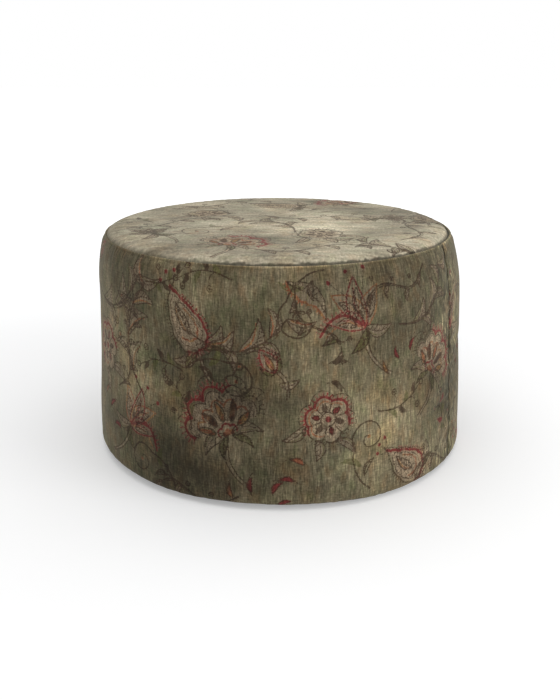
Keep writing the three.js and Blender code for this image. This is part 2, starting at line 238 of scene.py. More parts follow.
class Graph(Nodes):
    """The nodes of one material of a piece."""

    def __init__(self, name: str) -> None:
        """Starts a material that has one Principled shader.

        Args:
            name: The material's name.
        """
        self.material = bpy.data.materials.new(name)
        super().__init__(self.material, "OutputMaterial")
        self.shader = self.add("BsdfPrincipled", {})
        self.feed(self.surface, self.shader.outputs[0])

    def place(self) -> Socket:
        """Gives the piece's own object coordinates."""
        return self.add("TexCoord", {}).outputs["Object"]

    def flat(self) -> Socket:
        """Gives the place on the cloth before it was sewn, in metres."""
        return self.add("UVMap", {}, uv_map=CLOTH_MAP).outputs["UV"]

    def layer(self, name: str) -> tuple[Socket, ...]:
        """Gives the four channels of a colour layer that the mesh carries."""
        node = self.add("Attribute", {}, attribute_name=name)
        parts = self.add("SeparateColor", {"Color": node.outputs["Color"]})
        return (*parts.outputs[:3], node.outputs["Alpha"])

    def axes(self, place: Socket) -> tuple[Socket, ...]:
        """Splits a place into its three coordinates."""
        return tuple(self.add("SeparateXYZ", {0: place}).outputs)

    def noise(
        self,
        place: Socket,
        cell: Sequence[float],
        detail: float = 2.0,
        roughness: float = 0.5,
        shift: float = 0.0,
        distortion: float = 0.0,
    ) -> Socket:
        """Adds a noise whose lumps have a given size.

        Args:
            place: The coordinates that it reads.
            cell: The size of a lump along each axis, in metres.
            detail: How many finer octaves it holds.
            roughness: How strong these octaves are.
            shift: Moves the pattern, so that two noises differ.
            distortion: How far the lumps are drawn out of shape.

        Returns:
            The noise's value, from 0 to 1.
        """
        scale = [1 / c for c in (*cell, *cell[-1:])[:3]]
        moved = self.add("Mapping", {"Vector": place, "Location": (shift, shift * 1.7, 0), "Scale": scale})
        inputs = {"Vector": moved.outputs[0], "Scale": 1.0, "Detail": detail}
        inputs.update(Roughness=roughness, Distortion=distortion)
        return self.add("TexNoise", inputs, noise_dimensions="3D").outputs[0]

    def sum_of(self, terms: Iterable[tuple[object, float]], start: float = 0.5) -> Socket:
        """Adds centred values to a start: each is a value around a half, and its weight."""
        total: object = start
        for value, weight in terms:
            part = self.math("MULTIPLY_ADD", value, weight, -0.5 * weight)
            total = self.math("ADD", total, part)
        return total

    def math(self, operation: str, a: object, b: object = 0.0, c: object = 0.0) -> Socket:
        """Adds a Math node and gives its result."""
        return self.add("Math", {0: a, 1: b, 2: c}, operation=operation).outputs[0]

    def product(self, *values: object) -> Socket:
        """Multiplies two or more values."""
        total = values[0]
        for value in values[1:]:
            total = self.math("MULTIPLY", total, value)
        return total

    def step(
        self, value: object, low: float, high: float, start: float = 0.0, end: float = 1.0
    ) -> Socket:
        """Maps a range smoothly onto another.

        Args:
            value: What is mapped.
            low: The value that gives the start.
            high: The value that gives the end.
            start: The result at low and below it.
            end: The result at high and above it.

        Returns:
            The mapped value.
        """
        inputs = {"Value": value, "From Min": low, "From Max": high, "To Min": start, "To Max": end}
        return self.add("MapRange", inputs, interpolation_type="SMOOTHSTEP").outputs[0]

    def ramp(self, value: object, stops: Sequence[tuple[float, Colour]]) -> Socket:
        """Turns a value into a colour.

        Args:
            value: The value.
            stops: Positions and their colours, in rising order.

        Returns:
            The colour.
        """
        node = self.add("ValToRGB", {0: value})
        band = node.color_ramp.elements
        while len(band) < len(stops):
            band.new(0.5)
        for element, (position, colour) in zip(band, stops):
            element.position = position
            element.color = colour
        return node.outputs[0]

    def mix(self, a: object, b: object, share: object, mode: str = "MIX") -> Socket:
        """Mixes two colours.

        Args:
            a: The colour at share 0.
            b: The colour at share 1.
            share: How much of b there is.
            mode: How they mix.

        Returns:
            The mixed colour.
        """
        node = self.add("Mix", {}, data_type="RGBA", blend_type=mode)
        for index, value in ((0, share), (6, a), (7, b)):
            self.feed(node.inputs[index], value)
        return node.outputs[2]

    def shade(self, colour: object, value: object) -> Socket:
        """Multiplies a colour by a number."""
        node = self.add("VectorMath", {0: colour, "Scale": value}, operation="SCALE")
        return node.outputs[0]

    def bump(self, *heights: tuple[object, float, float]) -> None:
        """Gives the shader its relief.

        Args:
            *heights: For each layer a height from 0 to 1, its strength and its depth in metres.
        """
        normal = None
        for height, strength, depth in heights:
            node = self.add("Bump", {"Height": height, "Strength": strength, "Distance": depth})
            if normal is not None:
                self.feed(node.inputs["Normal"], normal)
            normal = node.outputs[0]
        self.feed(self.shader.inputs["Normal"], normal)

    def finish(self, colour: object, roughness: object, **sockets: object) -> Material:
        """Sets the shader's colour, roughness and further sockets.

        Args:
            colour: The base colour.
            roughness: The roughness.
            **sockets: Other sockets, with _ for each space in their names.

        Returns:
            The material.
        """
        self.feed(self.shader.inputs["Base Color"], colour)
        self.feed(self.shader.inputs["Roughness"], roughness)
        for name, value in sockets.items():
            self.feed(self.shader.inputs[name.replace("_", " ")], value)
        return self.material


class Ink(Enum):
    """The colours that the cloth is printed with, and two layers of painted light; the value is its channel.
    """

    CRIMSON = 0
    RUST = 1
    BROWN = 2
    OLIVE = 3
    PALE = 4
    # Painted shade and highlight: streaks that stand for the shading of creases near the side seams.
    CREASE = 5
    # Painted shade in the seams, under the top's lip and under the hem, painted highlight on the fold's
    # crest, and the dye blots.
    SEAM = 6
    STIPPLE = 7


class Cut(Enum):
    """The two kinds of panel that the cover is sewn from."""

    SIDE = "side"
    TOP = "top"


@dataclass(frozen=True)
class Yarns:
    """How one kind of panel's cloth is spun and dyed, with the top's ground painted paler; sizes are in
    metres on its flat map.

    The four cells are the sizes of the slubs, bars, weft threads and grain, and weights says how strongly
    each lightens or darkens the cloth. The stops are the ground's dark, middle and light colours: dyed on the
    side, and on the top painted paler as a painted highlight for the light from above and the pile's sheen.
    """

    cells: tuple[Point, Point, Point, Point]
    weights: tuple[float, float, float, float]
    stops: tuple[Colour, Colour, Colour]
    hued: float
    relief: float


YARNS = {
    Cut.SIDE: Yarns(
        ((0.0019, 0.014), (0.0042, 0.05), (0.01, 0.0021), (0.0031, 0.003)),
        (2.0, 1.3, 0.9, 1.2),
        (srgb(42, 40, 32), srgb(101, 92, 71), srgb(164, 149, 119)),
        hued=1.0,
        relief=0.5,
    ),
    # The top's paler stops are a painted highlight for the light from above and the pile's sheen.
    Cut.TOP: Yarns(
        ((0.02, 0.0055), (0.09, 0.014), (0.0024, 0.01), (0.0045, 0.006)),
        (1.0, 0.9, 0.6, 1.3),
        (srgb(92, 86, 72), srgb(162, 152, 131), srgb(205, 195, 170)),
        hued=0.6,
        relief=0.25,
    ),
}

INKS: dict[Ink, tuple[Colour, float]] = {
    Ink.PALE: (srgb(152, 132, 110), 0.4),
    Ink.OLIVE: (srgb(76, 76, 34), 0.55),
    Ink.RUST: (srgb(128, 62, 40), 0.7),
    Ink.CRIMSON: (srgb(106, 33, 34), 0.88),
    Ink.BROWN: (srgb(54, 35, 25), 0.78),
}
HALOES = {Ink.CRIMSON: srgb(150, 98, 88), Ink.RUST: srgb(152, 118, 88)}
RUST_FADED = srgb(146, 106, 58)
STIPPLED = srgb(170, 150, 122)


@dataclass(frozen=True)
class PrintedCloth:
    """The cover's slubbed pile cloth with its printed flowers."""

    cut: Cut
    painted_light_and_dye_strength: float = 1.25
    crease_shading_strength: float = 5.0
    body_share: float = 0.5
    halo_share: float = 0.4
    worm_share: float = 0.62

    def material(self) -> Material:
        """Builds the cloth: mottled ground, slubs, inks in the pile, sheen and relief, with painted shade and
        highlight by the seams, the fold, the hem and where the cloth is creased.
        """
        g = Graph(f"printed_cloth_{self.cut.value}")
        flat, yarns = g.flat(), YARNS[self.cut]

        def threads(across: float, along: float) -> Point:
            """Turns a thread's width and length to the way that this panel's pile runs."""
            return (across, along) if self.cut is Cut.SIDE else (along, across)

        broad = g.noise(flat, (0.15, 0.13), 1.5, 0.45, 128.75)
        patch = g.noise(flat, threads(0.032, 0.045), 3, 0.6, 7.7)
        settings = ((0.5, 1.3), (0.5, 5.9), (0.5, 9.2), (0.6, 2.4))
        yarn = [g.noise(flat, cell, 2, *more) for cell, more in zip(yarns.cells, settings)]
        slub, bar, weft, grain = yarn
        tone = g.sum_of([(broad, 1.35), (patch, 0.65)])
        ground = g.ramp(tone, list(zip((0.0, 0.5, 1.0), yarns.stops)))
        fine = g.math("EXPONENT", g.sum_of(zip(yarn, yarns.weights), 0.0))
        ground = g.shade(ground, fine)
        tint = g.noise(flat, (0.06, 0.07), 2, 0.5, 12.6)
        hue = g.noise(flat, threads(0.014, 0.03), 2, 0.55, 61.0)
        for noise, low, high, share, stain in (
            (tint, 0.48, 0.68, 0.4, srgb(214, 232, 208)),
            (tint, 0.52, 0.32, 0.4, srgb(255, 236, 196)),
            (hue, 0.5, 0.7, 0.6, srgb(252, 228, 214)),
            (hue, 0.5, 0.3, 0.55, srgb(222, 240, 220)),
        ):
            ground = g.mix(ground, stain, g.step(noise, low, high, 0.0, share * yarns.hued), "MULTIPLY")

        fleck = g.noise(flat, (0.0026, 0.0026), 2, 0.6, 33.0)
        rough = g.sum_of([(grain, 0.3), (slub, 0.35), (fleck, 0.9)], 0.0)
        first, second = (g.layer(name) for name in INK_AND_LIGHT_LAYERS)
        values = dict(zip(Ink, (*first, *second)))
        wear = g.step(g.noise(flat, (0.012, 0.016), 3, 0.65, 21.0), 0.25, 0.5, 0.45, 1.0)
        # Painted shade and highlight: noise streaks darken and lighten the ground where the cloth is creased
        # near the side seams.
        crease_shading = g.noise(flat, threads(0.0046, 0.017), 2, 0.6, 77.0, 0.6)
        crease_shading = g.product(g.math("SUBTRACT", crease_shading, 0.5), self.crease_shading_strength, values[Ink.CREASE])
        ground = g.shade(ground, g.math("EXPONENT", crease_shading))
        # Painted light and dye: where the layer is below 0, the painted highlight on the fold's crest and the
        # lighter dye blots lighten the ground alone.
        relief = g.product(values[Ink.SEAM], -self.painted_light_and_dye_strength)
        colour = g.shade(ground, g.math("EXPONENT", g.math("MAXIMUM", relief, 0.0)))
        body = g.product(g.step(values[Ink.STIPPLE], 0.4, 0.6, 0.0, self.body_share), wear)
        colour = g.mix(colour, g.shade(STIPPLED, fine), body)
        for ink, (shade, strength) in INKS.items():
            value = g.math("ADD", values[ink], rough)
            if ink is Ink.RUST:
                shade = g.mix(shade, RUST_FADED, g.step(hue, 0.47, 0.6))
            lit = g.shade(shade, fine)
            if ink in HALOES:
                halo = g.product(g.step(value, 0.2, 0.44, 0.0, self.halo_share), wear)
                colour = g.mix(colour, g.shade(HALOES[ink], fine), halo)
            if ink is Ink.BROWN:
                worm = g.noise(flat, (0.0046, 0.0046), 0, 0.5, 41.0, 0.5)
                away = g.math("ABSOLUTE", g.math("SUBTRACT", worm, 0.5))
                line = g.step(away, 0.02, 0.08, self.worm_share, 0.0)
                area = g.step(values[Ink.STIPPLE], 0.45, 0.6)
                colour = g.mix(colour, lit, g.product(line, area, wear))
            colour = g.mix(colour, lit, g.product(g.step(value, 0.465, 0.535, 0.0, strength), wear))
        # Painted shade and dye: the painted shade of the seams, fold and hem and the darker dye blots darken
        # the ground and inks alike.
        colour = g.shade(colour, g.math("EXPONENT", g.math("MINIMUM", relief, 0.0)))
        nap = g.sum_of([(slub, 0.8), (bar, 0.4), (weft, 0.4)])
        g.bump((nap, yarns.relief, 0.0005), (grain, yarns.relief, 0.0003))
        sheen = {"Sheen_Weight": 0.22, "Sheen_Roughness": 0.4, "Sheen_Tint": srgb(225, 222, 205)}
        return g.finish(colour, 0.92, Specular_IOR_Level=0.2, **sheen)


@dataclass(frozen=True)
class Fibre:
    """A plain fibrous or spongy finish: wadding, foam, hardboard or non-woven cloth."""

    name: str
    dark: Colour
    light: Colour
    fleck: Point
    roughness: float = 0.95
    sheen: float = 0.1
    depth: float = 0.0004

    def material(self) -> Material:
        """Builds the finish from three sizes of flecks."""
        g = Graph(self.name)
        place = g.place()
        fleck = g.noise(place, (self.fleck[0], self.fleck[0], self.fleck[1]), 3, 0.6, 1.0)
        cloud = g.noise(place, (0.05, 0.05, 0.05), 2, 0.5, 4.0)
        speck = g.noise(place, (0.0009, 0.0009, 0.0009), 1, 0.5, 8.0)
        tone = g.sum_of([(fleck, 1.3), (cloud, 0.8), (speck, 0.5)])
        g.bump((fleck, 0.6, self.depth), (speck, 0.4, self.depth * 0.5))
        colour = g.ramp(tone, [(0.15, self.dark), (0.85, self.light)])
        return g.finish(colour, self.roughness, Sheen_Weight=self.sheen)


@dataclass(frozen=True)
class Weave:
    """A plain woven cloth of crossing threads, read from the piece's flat map."""

    name: str
    dark: Colour
    light: Colour
    pitch: float
    stripe: Colour | None = None
    half_width: float = 0.0

    def material(self) -> Material:
        """Builds the weave, with a stripe along each edge where it has one."""
        g = Graph(self.name)
        u, v, _ = g.axes(g.flat())
        count = 2 * math.pi / self.pitch
        warp, weft = (g.math("SINE", g.product(way, count / 2)) for way in (u, v))
        over = g.step(g.product(warp, weft), -0.7, 0.7)
        slub = g.noise(g.flat(), (self.pitch * 1.2, self.pitch * 14), 2, 0.5, 2.0)
        fibre = g.noise(g.flat(), (self.pitch / 3, self.pitch / 3), 2, 0.6, 5.0)
        tone = g.sum_of([(over, 0.45), (slub, 0.9), (fibre, 0.7)])
        colour = g.ramp(tone, [(0.1, self.dark), (0.9, self.light)])
        if self.stripe is not None:
            edge = g.math("ABSOLUTE", u)
            inner = g.step(edge, self.half_width * 0.62, self.half_width * 0.66)
            outer = g.step(edge, self.half_width * 0.84, self.half_width * 0.88)
            colour = g.mix(colour, self.stripe, g.product(g.math("SUBTRACT", inner, outer), 0.8))
        g.bump((over, 0.7, self.pitch * 0.25), (fibre, 0.4, self.pitch * 0.1))
        return g.finish(colour, 0.93, Sheen_Weight=0.15, Sheen_Roughness=0.5)


class Grain(Enum):
    """Which way a wood's grain runs; the value is a fibre's size along each axis."""

    LYING = (0.09, 0.006, 0.006)
    STANDING = (0.005, 0.005, 0.12)


@dataclass(frozen=True)
class Wood:
    """Timber or plywood, with grain, rings and, on plywood, the plies at the edges."""

    name: str
    dark: Colour
    light: Colour
    grain: Grain
    ply: float = 0.0
    start: float = 0.0

    def material(self) -> Material:
        """Builds the wood from drawn-out fibres, broad rings and plies."""
        g = Graph(self.name)
        place = g.place()
        cell = self.grain.value
        fibre = g.noise(place, cell, 4, 0.6, 1.5, 0.6)
        pore = g.noise(place, [c / 5 for c in cell], 2, 0.6, 6.0)
        ring = g.noise(place, [c * 3 for c in cell], 2, 0.5, 3.0, 1.4)
        tone = g.sum_of([(fibre, 0.9), (pore, 0.5), (ring, 0.9)])
        colour = g.ramp(tone, [(0.15, self.dark), (0.85, self.light)])
        if self.ply:
            height = g.axes(place)[2]
            turn = g.math("MULTIPLY_ADD", height, math.pi / self.ply, -self.start * math.pi / self.ply)
            sheet = g.step(g.math("SINE", turn), -0.25, 0.25)
            facing = g.math("ABSOLUTE", g.axes(g.add("NewGeometry", {}).outputs["True Normal"])[2])
            edge = g.step(facing, 0.9, 0.5)
            colour = g.mix(colour, self.dark, g.product(sheet, edge, 0.6))
        g.bump((fibre, 0.35, 0.0004), (pore, 0.3, 0.0002))
        return g.finish(colour, g.step(fibre, 0.2, 0.8, 0.62, 0.8))


@dataclass(frozen=True)
class Metal:
    """Plated steel with fine turning marks and dulled patches."""

    name: str
    colour: Colour
    roughness: float

    def material(self) -> Material:
        """Builds the metal."""
        g = Graph(self.name)
        place = g.place()
        mark = g.noise(place, (0.0006, 0.0006, 0.00012), 2, 0.5, 1.0)
        dull = g.noise(place, (0.004, 0.004, 0.004), 3, 0.6, 5.0)
        colour = g.mix(self.colour, srgb(150, 146, 136), g.step(dull, 0.45, 0.75, 0.0, 0.5))
        g.bump((mark, 0.25, 0.00005))
        rough = g.step(dull, 0.3, 0.7, self.roughness, self.roughness + 0.2)
        return g.finish(colour, rough, Metallic=1.0)


@dataclass(frozen=True)
class Plastic:
    """Moulded plastic with a fine satin texture and light scuffs."""

    name: str
    colour: Colour

    def material(self) -> Material:
        """Builds the plastic."""
        g = Graph(self.name)
        place = g.place()
        satin = g.noise(place, (0.0005, 0.0005, 0.0005), 2, 0.5, 1.0)
        scuff = g.noise(place, (0.006, 0.0012, 0.006), 3, 0.7, 3.0)
        worn = g.step(scuff, 0.55, 0.75, 0.0, 0.35)
        colour = g.mix(self.colour, srgb(120, 108, 96), worn)
        g.bump((satin, 0.3, 0.00008), (scuff, 0.2, 0.0001))
        return g.finish(colour, g.step(scuff, 0.4, 0.7, 0.42, 0.62))


# The print


@dataclass
class Canvas:
    """Cloth laid flat, on which the print is drawn as a soft value for each ink.

    A value of a half is an ink's edge. It rises inwards and falls outwards over the band.
    """

    low: Point
    high: Point
    pitch: float = 1.0 * MM
    band: float = 2.0 * MM
    inks: dict[Ink, Array] = field(default_factory=dict)

    def __post_init__(self) -> None:
        """Starts with every ink at zero."""
        columns = int((self.high[0] - self.low[0]) / self.pitch) + 2
        rows = int((self.high[1] - self.low[1]) / self.pitch) + 2
        self.inks = {ink: np.zeros((rows, columns), np.float32) for ink in Ink}

    def window(self, points: Array, margin: float) -> tuple[slice, slice, Array, Array] | None:
        """Finds the cells near some points.

        Args:
            points: The points, in metres on the cloth.
            margin: How far round them the window reaches.

        Returns:
            The slices of rows and columns and the cells' coordinates, or None off the cloth.
        """
        rows, columns = next(iter(self.inks.values())).shape
        low = np.floor((points.min(0) - margin - self.low) / self.pitch).astype(int)
        high = np.ceil((points.max(0) + margin - self.low) / self.pitch).astype(int) + 1
        a, b = max(low[0], 0), min(high[0], columns)
        c, d = max(low[1], 0), min(high[1], rows)
        if a >= b or c >= d:
            return None
        x = self.low[0] + np.arange(a, b) * self.pitch
        y = self.low[1] + np.arange(c, d) * self.pitch
        return slice(c, d), slice(a, b), *np.meshgrid(x, y)

    def stroke(self, ink: Ink, points: Array, widths: Array) -> None:
        """Draws a line of changing width.

        Args:
            ink: Its ink.
            points: Its points, in metres.
            widths: Its width at each point, in metres.
        """
        found = self.window(points, float(widths.max()) / 2 + self.band)
        if found is None:
            return
        rows, columns, x, y = found
        gap, share = self.gaps(x, y, points[:-1], np.diff(points, axis=0))
        gap -= (widths[:-1] + share * np.diff(widths)) / 2
        self.lay(ink, rows, columns, gap.min(1).reshape(x.shape))

    def fill(self, ink: Ink, points: Array) -> None:
        """Fills a closed outline.

        Args:
            ink: Its ink.
            points: The outline's corners, in metres, without the first again.
        """
        found = self.window(points, self.band)
        if found is None:
            return
        rows, columns, x, y = found
        ends = np.roll(points, -1, axis=0)
        run = ends - points
        gap = self.gaps(x, y, points, run)[0].min(1)
        flat_x, flat_y = x.reshape(-1, 1), y.reshape(-1, 1)
        crosses = (points[:, 1] > flat_y) != (ends[:, 1] > flat_y)
        slope = (flat_y - points[:, 1]) / np.where(run[:, 1] == 0, TINY, run[:, 1])
        inside = (crosses & (flat_x - points[:, 0] < slope * run[:, 0])).sum(1) % 2 == 1
        self.lay(ink, rows, columns, np.where(inside, -gap, gap).reshape(x.shape))

    @staticmethod
    def gaps(x: Array, y: Array, start: Array, run: Array) -> tuple[Array, Array]:
        """Measures from places to straight lines.

        Args:
            x: The places' first coordinates.
            y: Their second coordinates.
            start: Where each line starts.
            run: How far it goes.

        Returns:
            The distances, and how far along each line its nearest point lies, as a share.
        """
        away_x, away_y = x.reshape(-1, 1) - start[:, 0], y.reshape(-1, 1) - start[:, 1]
        length = np.maximum((run**2).sum(1), TINY)
        share = np.clip((away_x * run[:, 0] + away_y * run[:, 1]) / length, 0, 1)
        return np.hypot(away_x - share * run[:, 0], away_y - share * run[:, 1]), share

    def lay(self, ink: Ink, rows: slice, columns: slice, gap: Array) -> None:
        """Adds distances from an edge to an ink, where they are nearer than what is there."""
        value = np.clip(0.5 - gap / (2 * self.band), 0, 1)
        patch = self.inks[ink][rows, columns]
        np.maximum(patch, value, out=patch)

    def read(self, places: Array) -> dict[Ink, Array]:
        """Reads every ink at places on the cloth.

        Args:
            places: The places, in metres.

        Returns:
            The inks' values there, each from the four cells round a place.
        """
        rows, columns = self.inks[Ink.BROWN].shape
        x = np.clip((places[:, 0] - self.low[0]) / self.pitch, 0, columns - 1.001)
        y = np.clip((places[:, 1] - self.low[1]) / self.pitch, 0, rows - 1.001)
        a, b = x.astype(int), y.astype(int)
        near = (b, b + 1), (a, a + 1), y - b, x - a
        return {ink: blended(grid, *near) for ink, grid in self.inks.items()}


@dataclass
class Pen:
    """Draws a motif in its own millimetres, at a place, size and turn on a canvas."""

    canvas: Canvas
    place: Point
    size: float = 1.0
    turn: float = 0.0
    mirrored: bool = False
    seed: int = 1
    bold: float = 1.0
    wobble: float = 0.7
    wave: Point = (11.0, 11.0)
    swell: float = 0.22
    finest: float = 1.2 * MM

    def laid(self, points: Array) -> Array:
        """Moves points of the motif to the cloth, with the wobble of a hand.

        Args:
            points: Points in the motif's millimetres.

        Returns:
            The points in metres on the cloth.
        """
        x, y = points[:, 0], points[:, 1]
        x = x + self.wobble * smooth_noise(x, y, self.wave, self.seed)
        y = y + self.wobble * smooth_noise(x, y, self.wave, self.seed + 50)
        if self.mirrored:
            x = -x
        angle = math.radians(self.turn)
        c, s = math.cos(angle) * self.size * MM, math.sin(angle) * self.size * MM
        return np.c_[self.place[0] + c * x - s * y, self.place[1] + s * x + c * y]

    def line(self, ink: Ink, points: Array, width: float = 1.9, taper: float = 1.0) -> None:
        """Draws a line.

        Args:
            ink: Its ink.
            points: Its points.
            width: Its width at the start, in millimetres.
            taper: The share of the width that is left at its end.
        """
        spots = self.laid(np.asarray(points, float))
        swell = 1 + self.swell * smooth_noise(spots[:, 0], spots[:, 1], (0.006, 0.006), self.seed + 7)
        widths = self.bold * width * MM * np.linspace(1, taper, len(spots)) * swell
        self.canvas.stroke(ink, spots, np.maximum(widths, self.finest))

    def bow(
        self, ink: Ink, start: Place, end: Place, sag: float, width: float = 1.9, taper: float = 0.6
    ) -> Array:
        """Draws a bowed line.

        Args:
            ink: Its ink.
            start: Its start.
            end: Its end.
            sag: How far its middle stands to the left of the straight line, as a share of that line.
            width: Its width at the start, in millimetres.
            taper: The share of the width that is left at its end.

        Returns:
            Its points.
        """
        a, b = np.array(start, float), np.array(end, float)
        run = b - a
        middle = (a + b) / 2 + sag * 2 * np.array([-run[1], run[0]])
        t = np.linspace(0, 1, 17)[:, None]
        points = (1 - t) ** 2 * a + 2 * t * (1 - t) * middle + t**2 * b
        self.line(ink, points, width, taper)
        return points

    def circle(self, centre: Place, radius: float, corners: int) -> Array:
        """Gives the points of a small circle, the first again at its end."""
        t = np.linspace(0, 2 * math.pi, corners + 1)
        return np.c_[centre[0] + radius * np.cos(t), centre[1] + radius * np.sin(t)]

    def dot(self, ink: Ink, centre: Place, radius: float) -> None:
        """Prints a dot."""
        self.area(ink, self.circle(centre, radius, 12)[:-1])

    def berry(self, centre: Place, radius: float, width: float, ink: Ink, dot: float) -> None:
        """Draws a brown ring with a dot of an ink in it."""
        self.line(Ink.BROWN, self.circle(centre, radius, 18), width)
        self.dot(ink, centre, dot)

    def area(self, ink: Ink, points: Array) -> None:
        """Fills an outline."""
        self.canvas.fill(ink, self.laid(np.asarray(points, float)))

    def ticks(self, ink: Ink, points: Array, length: float, spacing: float, width: float) -> None:
        """Draws a comb of short strokes to the left of a line.

        Args:
            ink: Their ink.
            points: The line.
            length: Their length.
            spacing: The space between two of them.
            width: Their width.
        """
        points = np.asarray(points, float)
        steps = np.r_[0, np.cumsum(np.hypot(*np.diff(points, axis=0).T))]
        for at in np.arange(spacing / 2, steps[-1], spacing):
            x, y = (np.interp(at, steps, points[:, k]) for k in (0, 1))
            ahead = [np.interp(at + 0.6, steps, points[:, k]) for k in (0, 1)]
            behind = [np.interp(at - 0.6, steps, points[:, k]) for k in (0, 1)]
            along = np.subtract(ahead, behind)
            along /= max(float(np.hypot(*along)), 1e-9)
            left = np.array([-along[1], along[0]])
            self.line(ink, np.array([(x, y), (x, y) + left * length]), width, 0.7)

    def leaf(
        self,
        edge: Ink,
        start: Place,
        end: Place,
        width: float,
        body: Ink | None = Ink.PALE,
        hatch: float = 0.0,
        sag: float = 0.12,
        accent: Ink | None = None,
    ) -> None:
        """Draws a pointed leaf.

        Args:
            edge: The ink of its outline and midrib.
            start: Its stalk end.
            end: Its tip.
            width: Its greatest width.
            body: The ink that fills it, or None.
            hatch: The space between its side veins, or 0 for none.
            sag: How far it bows to the left, as a share of its length.
            accent: The ink of a second line inside its left edge, or None.
        """
        a, b = np.array(start, float), np.array(end, float)
        run = b - a
        length = float(np.hypot(*run))
        left = np.array([-run[1], run[0]]) / length
        t = np.linspace(0, 1, 21)
        rib = a + t[:, None] * run + (4 * sag * length * t * (1 - t))[:, None] * left
        half = width / 2 * np.sin(math.pi * t**0.8) ** 0.9
        one, other = rib + half[:, None] * left, rib - half[:, None] * left
        if body is not None:
            self.area(body, np.r_[one, other[::-1][1:-1]])
        self.line(edge, one, 1.6)
        self.line(edge, other, 1.6)
        if width > 6 or body in (None, Ink.PALE):
            self.line(edge, rib[:17], 1.4, 0.7)
        if accent is not None:
            self.line(accent, (rib + 0.62 * (one - rib))[3:18], 1.7, 0.8)
        if hatch:
            for k in range(3, 17, max(1, round(hatch / length * 20))):
                self.line(edge, np.array([rib[k], other[min(k + 3, 20)]]), 1.2, 0.8)


def ray(angle: float, reach: float) -> Array:
    """Gives the point at an angle in degrees and a distance from a motif's foot."""
    turn = math.radians(angle)
    return reach * np.array([math.cos(turn), math.sin(turn)])


class Motif(Enum):
    """The flowers, fruits and leaves of the print; the value names the method that draws it."""

    FAN = "fan"
    ROSETTE = "rosette"
    POD = "pod"
    BLOSSOM = "blossom"
    BUD = "bud"
    FROND = "frond"
    SPRIG = "sprig"
    TENDRIL = "tendril"
    PETALS = "petals"
    SPRAY = "spray"
    VINE = "vine"


